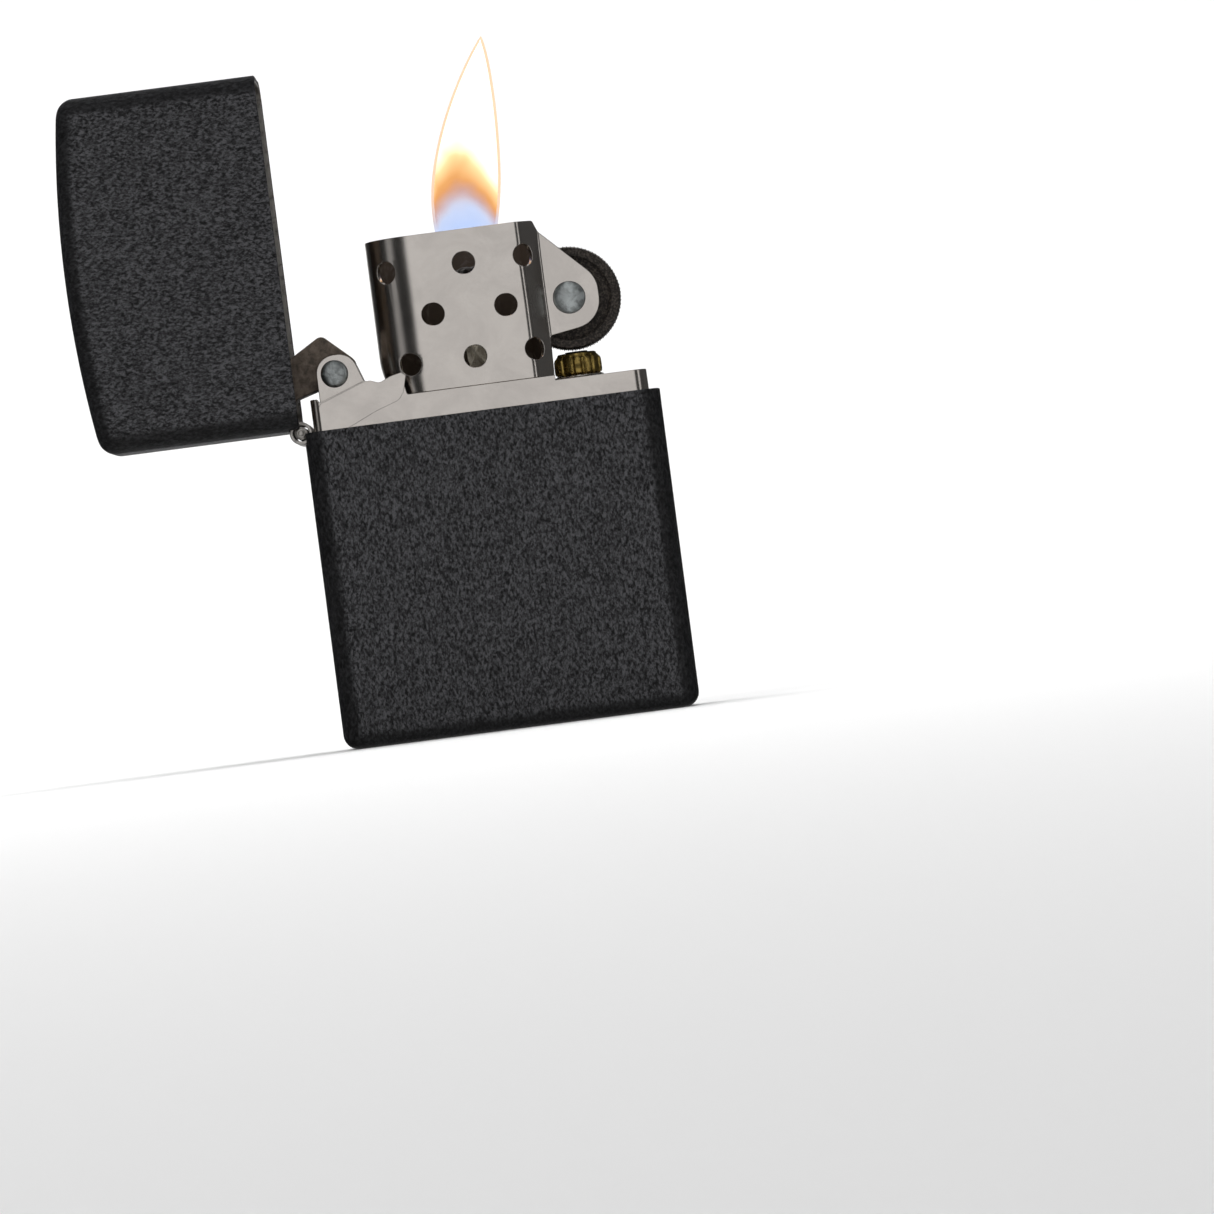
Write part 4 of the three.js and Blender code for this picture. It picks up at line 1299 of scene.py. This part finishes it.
class LIGHTER_OT_cam_bracket(bpy.types.Operator):
    """Models the two cam ears and the shoulders they are folded from"""

    bl_idname = "lighter.cam_bracket"
    bl_label = "Cam bracket"

    def execute(self, context):
        sizes = context.scene.lighter_sheet
        low, high = node_box("cam_bracket")
        sheet = 0.45
        ear_y = 2.95 - sheet / 2
        outline = rounded(
            [
                (low.x, low.z),
                (high.x, low.z),
                (-12.0, 38.6, 0.5),
                (-13.15, high.z, 1.95),
                (low.x, high.z, 1.95),
            ]
        )
        bore = ring(CAM_PIVOT.x, CAM_PIVOT.z, 0.85)
        ear = plate(outline, [bore], sheet, sizes.rim / MM, -ear_y)
        slope = rounded(
            [
                (CREASE[0][0] + 0.05, CREASE[0][1] - 0.48),
                (CREASE[1][0], CREASE[1][1] - 0.48),
                (CREASE[1][0], CREASE[1][1] - 0.06, 0.12),
                (CREASE[0][0] + 0.05, CREASE[0][1] - 0.06, 0.12),
            ],
            4,
        )
        inner, outer = -2.6, -5.15
        shoulder = plate(slope, [], inner - outer, 0.05, (inner + outer) / 2)
        bridge = block((-16.1, -2.6, low.z), (high.x, 2.6, low.z + 0.35))
        with Editing(bridge) as work:
            work.everything()
            bpy.ops.mesh.bevel(offset=0.08, segments=2, affect="EDGES")
        made = join(mirrored(join(ear, shoulder)), bridge)
        settle(made, "cam_ears", "insert", [satin_sheet("cam ears", False)], ["cam_bracket"])
        return {"FINISHED"}


class LIGHTER_OT_cam(bpy.types.Operator):
    """Models the cam that holds the lid open or closed"""

    bl_idname = "lighter.cam"
    bl_label = "Cam"

    def execute(self, context):
        low, high = node_box("cam")
        about_pivot = [
            (-0.96, 4.3, 0.8),
            (2.3, 1.3, 1.0),
            (2.3, -1.2, 1.0),
            (0.8, -2.3, 0.8),
            (-1.2, -2.2, 0.6),
            (-1.9, -1.46, 0.4),
            (-4.4, -2.2, 0.8),
            (-5.2, -4.3, 0.5),
            (-6.3, -4.2, 0.5),
            (-7.0, -1.6, 1.2),
            (-6.4, 1.1, 0.9),
        ]
        outline = rounded([(CAM_PIVOT.x + x, CAM_PIVOT.z + z, r) for x, z, r in about_pivot], 12)
        bore = ring(CAM_PIVOT.x, CAM_PIVOT.z, 0.8)
        made = plate(outline, [bore], high.y - low.y, 0.16, 0)
        settle(made, "cam_plate", "cam", [cam_oxide("cam skin")], ["cam"])
        return {"FINISHED"}


class LIGHTER_OT_rivets(bpy.types.Operator):
    """Turns the two headed rivets that carry the cam and the wheel"""

    bl_idname = "lighter.rivets"
    bl_label = "Rivets"

    def execute(self, context):
        rivets = (
            ("cam_rivet_spun", "cam_rivet", 2.97, 0.75),
            ("wheel_rivet_spun", "wheel_rivet", 3.27, 1.0),
        )
        for name, node, seat, shank in rivets:
            low, high = node_box(node)
            centre = (low + high) / 2
            head = (high.x - low.x) / 2
            tall = high.y - seat
            dome = [
                (0, 1),
                (0.3, 0.985),
                (0.5, 0.93),
                (0.68, 0.84),
                (0.82, 0.7),
                (0.93, 0.5),
                (0.985, 0.28),
                (1, 0.12),
                (0.985, 0),
            ]
            half = [(head * r, seat + tall * h) for r, h in dome] + [(shank, seat)]
            made = laid_along_y(turned(both_ways(half), 64), centre.x, centre.z)
            metal = spun_metal(name.replace("_", " "), centre.x, centre.z)
            settle(made, name, "insert", [metal], [node], weighted=False)
        return {"FINISHED"}


class LIGHTER_OT_wheel(bpy.types.Operator):
    """Models the striker wheel: a dished disc with file-cut teeth crossing both ways"""

    bl_idname = "lighter.wheel"
    bl_label = "Striker wheel"

    def execute(self, context):
        sizes = context.scene.lighter_striker
        low, high = node_box("flint_wheel")
        radius = (high.x - low.x) / 2
        hub = high.y
        half = 2.15
        depth = sizes.tooth_height / MM
        teeth = sizes.teeth
        rows = 20
        side = [
            (1.06, hub),
            (1.2, hub),
            (2.2, hub),
            (2.35, hub - 0.12),
            (2.4, half - 0.25),
            (2.6, half - 0.3),
            (4.1, half - 0.3),
            (4.35, half - 0.18),
            (4.5, half),
            (4.95, half),
            (radius - 0.3, half),
            (radius - 0.12, half - 0.1),
        ]
        tread = [(radius, half - 0.25 - (2 * half - 0.5) * i / rows) for i in range(rows + 1)]
        profile = [*side, *tread, *[(r, -h) for r, h in reversed(side)]]
        profile.append(profile[0])
        made = turned(profile, teeth * 5)
        twist = 3.2
        for vertex in made.data.vertices:
            reach = math.hypot(vertex.co.x, vertex.co.y)
            if reach < radius - 0.2:
                continue
            angle = math.atan2(vertex.co.y, vertex.co.x)
            lean = vertex.co.z * twist
            first = abs(math.sin((teeth * angle + lean) / 2))
            second = abs(math.sin((teeth * angle - lean) / 2))
            sunk = depth * (first + second) / 2
            draw_in(vertex, reach, sunk)
        laid_along_y(made, WHEEL.x, WHEEL.z)
        steel = hardened_wheel("hardened wheel")
        settle(made, "striker_wheel", "wheel", [steel], ["flint_wheel"], 30, False)
        return {"FINISHED"}


class LIGHTER_OT_flint_tube(bpy.types.Operator):
    """Turns the brass flint tube and flutes its collar"""

    bl_idname = "lighter.flint_tube"
    bl_label = "Flint tube"

    def execute(self, context):
        sizes = context.scene.lighter_striker
        low, high = node_box("flint_tube")
        collar = high.y
        foot, crest = 36.65, 38.65
        bore, outside = 1.27, 1.85
        profile = [
            (bore, low.z + 0.15),
            (bore + 0.15, low.z),
            (outside - 0.12, low.z),
            (outside, low.z + 0.12),
            (outside, foot),
            (collar - 0.22, foot),
            (collar - 0.04, foot + 0.14),
            (collar, foot + 0.4),
            (collar, foot + 0.9),
            (collar - 0.02, crest - 0.55),
            (collar - 0.1, crest - 0.3),
            (collar - 0.3, crest - 0.1),
            (2.2, crest),
            (2.12, crest + 0.02),
            (2.08, high.z - 0.1),
            (1.95, high.z),
            (bore + 0.12, high.z),
            (bore, high.z - 0.1),
            (bore, low.z + 0.15),
        ]
        made = turned(profile, sizes.flutes * 12)
        for vertex in made.data.vertices:
            reach = math.hypot(vertex.co.x, vertex.co.y)
            if reach < 2.25 or vertex.co.z < foot - 0.01:
                continue
            angle = math.atan2(vertex.co.y, vertex.co.x)
            groove = max(0.0, math.cos(sizes.flutes * angle)) ** 0.7
            sunk = sizes.flute_depth / MM * groove
            if vertex.co.z > crest - 0.4:
                sunk *= 0.55
            draw_in(vertex, reach, sunk)
        moved(made, Matrix.Translation((FLINT.x, 0, 0)))
        brass = aged_brass("flint tube brass")
        settle(made, "flint_tube_fluted", "insert", [brass], ["flint_tube"], 42, False)
        return {"FINISHED"}


class LIGHTER_OT_small_parts(bpy.types.Operator):
    """Winds the flint's spring, and gives the flint, its screw and the cam's spring their finishes"""

    bl_idname = "lighter.small_parts"
    bl_label = "Small parts"

    def execute(self, context):
        wire = plain_steel("spring wire", 0.55, 0.24)
        brass = aged_brass("turned brass")
        finishes = {
            "cam_spring": plain_steel("leaf spring", 0.5, 0.22),
            "cam_spring_rivet": plain_steel("small rivet", 0.58, 0.3),
            "flint": flint_alloy("flint"),
            "flint_spring_tip": brass,
            "flint_screw": brass,
        }
        for node, material in finishes.items():
            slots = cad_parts[node].material_slots
            if not slots:
                raise RuntimeError(f"{node} has no material slot")
            for each in slots:
                each.material = material
        self.model_coil(wire)
        return {"FINISHED"}

    def model_coil(self, wire):
        """Winds the spring below the flint."""
        low, high = node_box("flint_spring")
        middle = (low + high) / 2
        thick, turns, steps, dead_turns, flint_travel = 0.2, 16, 28, 1.2, 2.0
        radius = (high.x - low.x) / 2 - thick
        line = []
        height = high.z - low.z - 2 * thick
        lay = 2 * thick * dead_turns
        for i in range(turns * steps + 1):
            turn = i / steps
            if turn < dead_turns:
                rise = 2 * thick * turn
            elif turn > turns - dead_turns:
                rise = height - 2 * thick * (turns - turn)
            else:
                open_turns = turns - 2 * dead_turns
                rise = lay + (height - 2 * lay) * (turn - dead_turns) / open_turns
            angle = 2 * math.pi * turn
            across_x, across_y = radius * math.cos(angle), radius * math.sin(angle)
            line.append((middle.x + across_x, middle.y + across_y, low.z + thick + rise))
        coil = curve_mesh(
            "coil", [line], False, dimensions="3D", bevel_depth=thick, bevel_resolution=3, use_fill_caps=True
        )
        settle(coil, "flint_coil", "insert", [wire], ["flint_spring"], 60, False)
        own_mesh(coil)


# ---------------------------------------------------------------------------------------------
# Wick, packing, felt and flame
# ---------------------------------------------------------------------------------------------


class LIGHTER_OT_wick(bpy.types.Operator):
    """Models the braided wick, frayed at its top"""

    bl_idname = "lighter.wick"
    bl_label = "Wick"

    def execute(self, context):
        low, high = node_box("wick")
        radius = (high.x - low.x) / 2
        levels = 230
        tall = high.z - low.z
        profile = [(0, low.z)]
        profile += [(radius, low.z + 0.2 + (tall - 0.5) * i / levels) for i in range(levels + 1)]
        profile += [(radius * 0.72, high.z - 0.05), (radius * 0.4, high.z), (0, high.z - 0.1)]
        made = turned(profile, 60)
        strands, lay, frayed = 5, 2.1, 1.6
        for vertex in made.data.vertices:
            x, y, z = vertex.co
            reach = math.hypot(x, y)
            if reach < 0.01:
                continue
            angle = math.atan2(y, x)
            over = math.cos(strands * angle + z * lay)
            under = math.cos(strands * angle - z * lay)
            over_share, under_share = (1.1, 0.7) if math.sin(z * lay) > 0 else (0.7, 1.1)
            ridge = max(over * over_share, under * under_share)
            fray = max(0.0, (z - high.z + frayed) / frayed)
            wobble = noise.noise(Vector((x * 2.2, y * 2.2, z * 1.3))) * (0.06 + fray * 0.22)
            sunk = 0.3 * (1 - max(0.0, ridge)) * (1 - fray * 0.4) + 0.05 + abs(wobble)
            scale = max(0.2, 1 - sunk / radius)
            vertex.co.x *= scale
            vertex.co.y *= scale
            vertex.co.z -= fray * abs(wobble) * 1.5
        moved(made, Matrix.Translation((WICK.x, 0, 0)))
        fibre = wick_fibre("wick braid")
        settle(made, "wick_braid", "insert", [fibre], ["wick"], 60, False)
        return {"FINISHED"}


def stuffed(node, voxel, inset, lump, seed):
    """A copy of a soft node's solid, remeshed, drawn in a little and made lumpy."""
    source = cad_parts[node]
    made = source.copy()
    made.data = source.data.copy()
    made.parent = None
    for key in list(made.keys()):
        if key.startswith("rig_"):
            del made[key]
    bpy.context.collection.objects.link(made)
    made.hide_set(False)
    moved(made, Matrix.Scale(1 / MM, 4))
    clean(made)
    modify(made, "REMESH", mode="VOXEL", voxel_size=voxel)
    modify(made, "SMOOTH", factor=0.5, iterations=5)
    mesh = made.data
    normals = [v.normal.copy() for v in mesh.vertices]
    for vertex, normal in zip(mesh.vertices, normals):
        place = vertex.co * 0.42 + Vector((seed, seed * 0.7, 0))
        swell = noise.fractal(place, 0.9, 2.1, 4)
        fuzz = noise.noise(vertex.co * 2.6)
        vertex.co -= normal * (inset - lump * swell - lump * 0.35 * fuzz)
    return made


class LIGHTER_OT_packing(bpy.types.Operator):
    """Models the five wads of cotton packing"""

    bl_idname = "lighter.packing"
    bl_label = "Packing"

    def execute(self, context):
        cotton = loose_cotton("packing cotton", 0.86)
        first = stuffed("packing_1", 0.42, 0.2, 0.14, 1.0)
        base = node_box("packing_1")[0].z
        for i in range(1, 6):
            node = f"packing_{i}"
            lift = Matrix.Translation((0, 0, node_box(node)[0].z - base))
            wad = twin(first, lift)
            settle(wad, f"wad_{i}", "insert", [cotton], [node], 60, False)
        bpy.data.objects.remove(first)
        return {"FINISHED"}


class LIGHTER_OT_felt(bpy.types.Operator):
    """Models the felt pad that closes the tank's bottom"""

    bl_idname = "lighter.felt"
    bl_label = "Felt pad"

    def execute(self, context):
        made = stuffed("felt_pad", 0.3, 0.1, 0.06, 7.0)
        felt = loose_cotton("pressed felt", 0.58)
        settle(made, "felt_base", "insert", [felt], ["felt_pad"], 60, False)
        return {"FINISHED"}


def flame_shell(sizes, root, start, inset):
    """A teardrop that swells over the wick and leans to its tip, drawn in from its skin by an inset."""
    wide, tip, lean = sizes.half_width / MM, sizes.top / MM, sizes.lean / MM
    root_radius, swell_at, flatten, levels = 2.6, 0.34, 0.8, 60

    def girth(height):
        t = (height - root) / (tip - root)
        opening = min(1.0, t / swell_at)
        closing = max(0.0, (t - swell_at) / (1 - swell_at))
        body = root_radius + (wide - root_radius) * math.sin(opening * math.pi / 2)
        return body * (1 - min(1.0, closing) ** 1.7) ** 0.85 - inset

    profile = [(0, start)]
    for i in range(1, levels):
        height = start + (tip - start) * i / levels
        if girth(height) > 0.02:
            profile.append((girth(height), height))
    peak = profile[-1][1] + (tip - start) / levels
    profile.append((0, peak))
    made = turned(profile, 56)
    for vertex in made.data.vertices:
        t = (vertex.co.z - root) / (tip - root)
        vertex.co.y *= flatten
        vertex.co.x += lean * max(0.0, t) ** 1.35 - 0.35 * math.sin(t * math.pi)
    return moved(made, Matrix.Translation((WICK.x, 0, 0)))


class LIGHTER_OT_flame(bpy.types.Operator):
    """Models the flame."""

    bl_idname = "lighter.flame"
    bl_label = "Flame"

    def execute(self, context):
        sizes = context.scene.lighter_flame
        wick_top = node_box("wick")[1].z
        root = wick_top + 0.2
        mantle = flame_shell(sizes, root, root, 0.0)
        core = flame_shell(sizes, root, root + 3.4, sizes.skin / MM)
        shells = (
            (mantle, "flame_mantle", flame_mantle("flame mantle")),
            (core, "flame_core", flame_core("flame core")),
        )
        for shell, name, glow in shells:
            settle(shell, name, "insert", [glow], (), 80, False)
            shell.visible_shadow = False
            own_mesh(shell)
        return {"FINISHED"}


# ---------------------------------------------------------------------------------------------
# Stage
# ---------------------------------------------------------------------------------------------


def lamp(name, place, aim, size, power):
    """A soft box at a place in millimetres, turned to its aim."""
    light = bpy.data.lights.new(name, "AREA")
    light.shape = "RECTANGLE"
    light.size, light.size_y = size[0] * MM, size[1] * MM
    light.energy = power
    obj = bpy.data.objects.new(name, light)
    bpy.context.collection.objects.link(obj)
    obj.location = Vector(place) * MM
    obj.rotation_euler = (Vector(aim) - Vector(place)).to_track_quat("-Z", "Y").to_euler()
    obj.visible_glossy = False
    return obj


# Brightness round the horizon as (part of a turn, level): from the front by the hinge's side, the
# back and the wheel's side to the front again. The dark walls give the bends their dark stripes.
SURROUND = (
    (0.0, 0.74),
    (0.026, 0.74),
    (0.042, 0.03),
    (0.12, 0.02),
    (0.14, 0.34),
    (0.17, 0.34),
    (0.185, 0.02),
    (0.3, 0.02),
    (0.325, 0.14),
    (0.345, 0.02),
    (0.42, 0.04),
    (0.46, 0.5),
    (0.54, 0.5),
    (0.58, 0.05),
    (0.7, 0.07),
    (0.82, 0.05),
    (0.845, 0.03),
    (0.86, 0.95),
    (0.875, 0.95),
    (0.89, 0.03),
    (0.955, 0.03),
    (0.972, 0.74),
    (1.0, 0.74),
)


def surround(scene, strength):
    """Sets the room that the metal mirrors, from bright and dark walls round the horizon."""
    world = bpy.data.worlds.new("studio")
    scene.world = world
    world.use_nodes = True
    tree = world.node_tree
    place = tree.nodes.new("ShaderNodeTexCoord")
    apart = tree.nodes.new("ShaderNodeSeparateXYZ")
    bearing = tree.nodes.new("ShaderNodeMath")
    bearing.operation = "ARCTAN2"
    part = tree.nodes.new("ShaderNodeMath")
    part.operation = "MULTIPLY_ADD"
    part.inputs[1].default_value = 0.5 / math.pi
    part.inputs[2].default_value = 0.5
    ramp = tree.nodes.new("ShaderNodeValToRGB")
    while len(ramp.color_ramp.elements) < len(SURROUND):
        ramp.color_ramp.elements.new(1.0)
    for element, (position, level) in zip(ramp.color_ramp.elements, SURROUND):
        element.position = position
        element.color = (level, level, level, 1)
    back = tree.nodes["Background"]
    back.inputs["Strength"].default_value = strength
    tree.links.new(place.outputs["Generated"], apart.inputs[0])
    tree.links.new(apart.outputs["X"], bearing.inputs[0])
    tree.links.new(apart.outputs["Y"], bearing.inputs[1])
    tree.links.new(bearing.outputs[0], part.inputs[0])
    tree.links.new(part.outputs[0], ramp.inputs["Fac"])
    tree.links.new(ramp.outputs[0], back.inputs["Color"])


class LIGHTER_OT_stage(bpy.types.Operator):
    """Lays the floor and backdrop, and sets the lights and the camera"""

    bl_idname = "lighter.stage"
    bl_label = "Stage"

    def execute(self, context):
        sizes = context.scene.lighter_stage
        bpy.ops.mesh.primitive_plane_add(size=1, location=(0, 0, 0), scale=(1, 1, 1))
        floor = bpy.context.object
        wide, near, far, tall = 2600, -1900, 900, 1700
        for vertex in floor.data.vertices:
            vertex.co = Vector((vertex.co.x * 2 * wide, near if vertex.co.y < 0 else far, 0))
        with Editing(floor) as work:
            work.pick(lambda e: all(v.co.y > far - 1 for v in e.verts))
            bpy.ops.mesh.extrude_region_move(TRANSFORM_OT_translate={"value": (0, 0, tall)})
            work.pick(lambda e: all(v.co.y > far - 1 and v.co.z < 1 for v in e.verts))
            bpy.ops.mesh.bevel(offset=600, segments=24, affect="EDGES")
        floor.name = floor.data.name = "paper_sweep"
        floor.data.transform(Matrix.Scale(MM, 4))
        floor.data.materials.append(studio_paper("studio paper"))
        take(floor)
        bpy.ops.object.shade_smooth()
        floor.visible_glossy = False

        middle = (-8, 0, 36)
        lamp("key box", (-420, -620, 620), middle, (520, 520), 3.2)
        lamp("fill box", (560, -520, 260), middle, (420, 620), 1.2)
        lamp("top box", (0, 60, 700), middle, (500, 300), 2.2)
        lamp("side box", (-640, 280, 260), middle, (360, 460), 1.2)
        lamp("backdrop box", (0, 150, 900), (0, 800, 200), (1800, 300), 7.0)
        surround(context.scene, 1.0)
        context.scene.view_settings.view_transform = "Standard"

        camera = bpy.data.cameras.new("camera")
        camera.sensor_width = 36.0
        camera.lens = camera.sensor_width * sizes.distance / sizes.field
        camera.clip_start, camera.clip_end = 0.05, 20.0
        seat = bpy.data.objects.new("camera", camera)
        context.collection.objects.link(seat)
        upright_view = Matrix.Rotation(math.pi / 2, 4, "X")
        place = Matrix.Translation((sizes.aim_x, -sizes.distance, sizes.aim_z))
        seat.matrix_world = place @ upright_view @ Matrix.Rotation(-sizes.lean, 4, "Z")
        context.scene.camera = seat
        return {"FINISHED"}


# ---------------------------------------------------------------------------------------------
# The add-on
# ---------------------------------------------------------------------------------------------

GROUPS = {
    "lighter_shell": ShellSizes,
    "lighter_sheet": SheetSizes,
    "lighter_striker": StrikerSizes,
    "lighter_flame": FlameSizes,
    "lighter_stage": StageSizes,
}
STEPS = (
    LIGHTER_OT_stage,
    LIGHTER_OT_case,
    LIGHTER_OT_lid,
    LIGHTER_OT_hinge,
    LIGHTER_OT_tank,
    LIGHTER_OT_cover,
    LIGHTER_OT_chimney,
    LIGHTER_OT_cam_bracket,
    LIGHTER_OT_cam,
    LIGHTER_OT_rivets,
    LIGHTER_OT_wheel,
    LIGHTER_OT_flint_tube,
    LIGHTER_OT_small_parts,
    LIGHTER_OT_wick,
    LIGHTER_OT_packing,
    LIGHTER_OT_felt,
    LIGHTER_OT_flame,
)


class LIGHTER_PT_parts(bpy.types.Panel):
    """Lists the lighter's pieces and their sizes"""

    bl_label = "Lighter"
    bl_idname = "LIGHTER_PT_parts"
    bl_space_type = "VIEW_3D"
    bl_region_type = "UI"
    bl_category = "Lighter"

    def draw(self, context):
        for name, group in GROUPS.items():
            box = self.layout.box()
            box.label(text=group.__doc__)
            for setting in group.__annotations__:
                box.prop(getattr(context.scene, name), setting)
        for step in STEPS:
            self.layout.operator(step.bl_idname)


def register():
    for group in GROUPS.values():
        bpy.utils.register_class(group)
    for name, group in GROUPS.items():
        setattr(bpy.types.Scene, name, PointerProperty(type=group))
    for step in STEPS:
        bpy.utils.register_class(step)
    bpy.utils.register_class(LIGHTER_PT_parts)


def unregister():
    bpy.utils.unregister_class(LIGHTER_PT_parts)
    for step in reversed(STEPS):
        bpy.utils.unregister_class(step)
    for name, group in GROUPS.items():
        delattr(bpy.types.Scene, name)
        bpy.utils.unregister_class(group)


def main():
    """Registers the add-on and builds every piece in turn."""
    register()
    for step in STEPS:
        area, verb = step.bl_idname.split(".")
        getattr(getattr(bpy.ops, area), verb)()


if __name__ == "__main__":
    main()
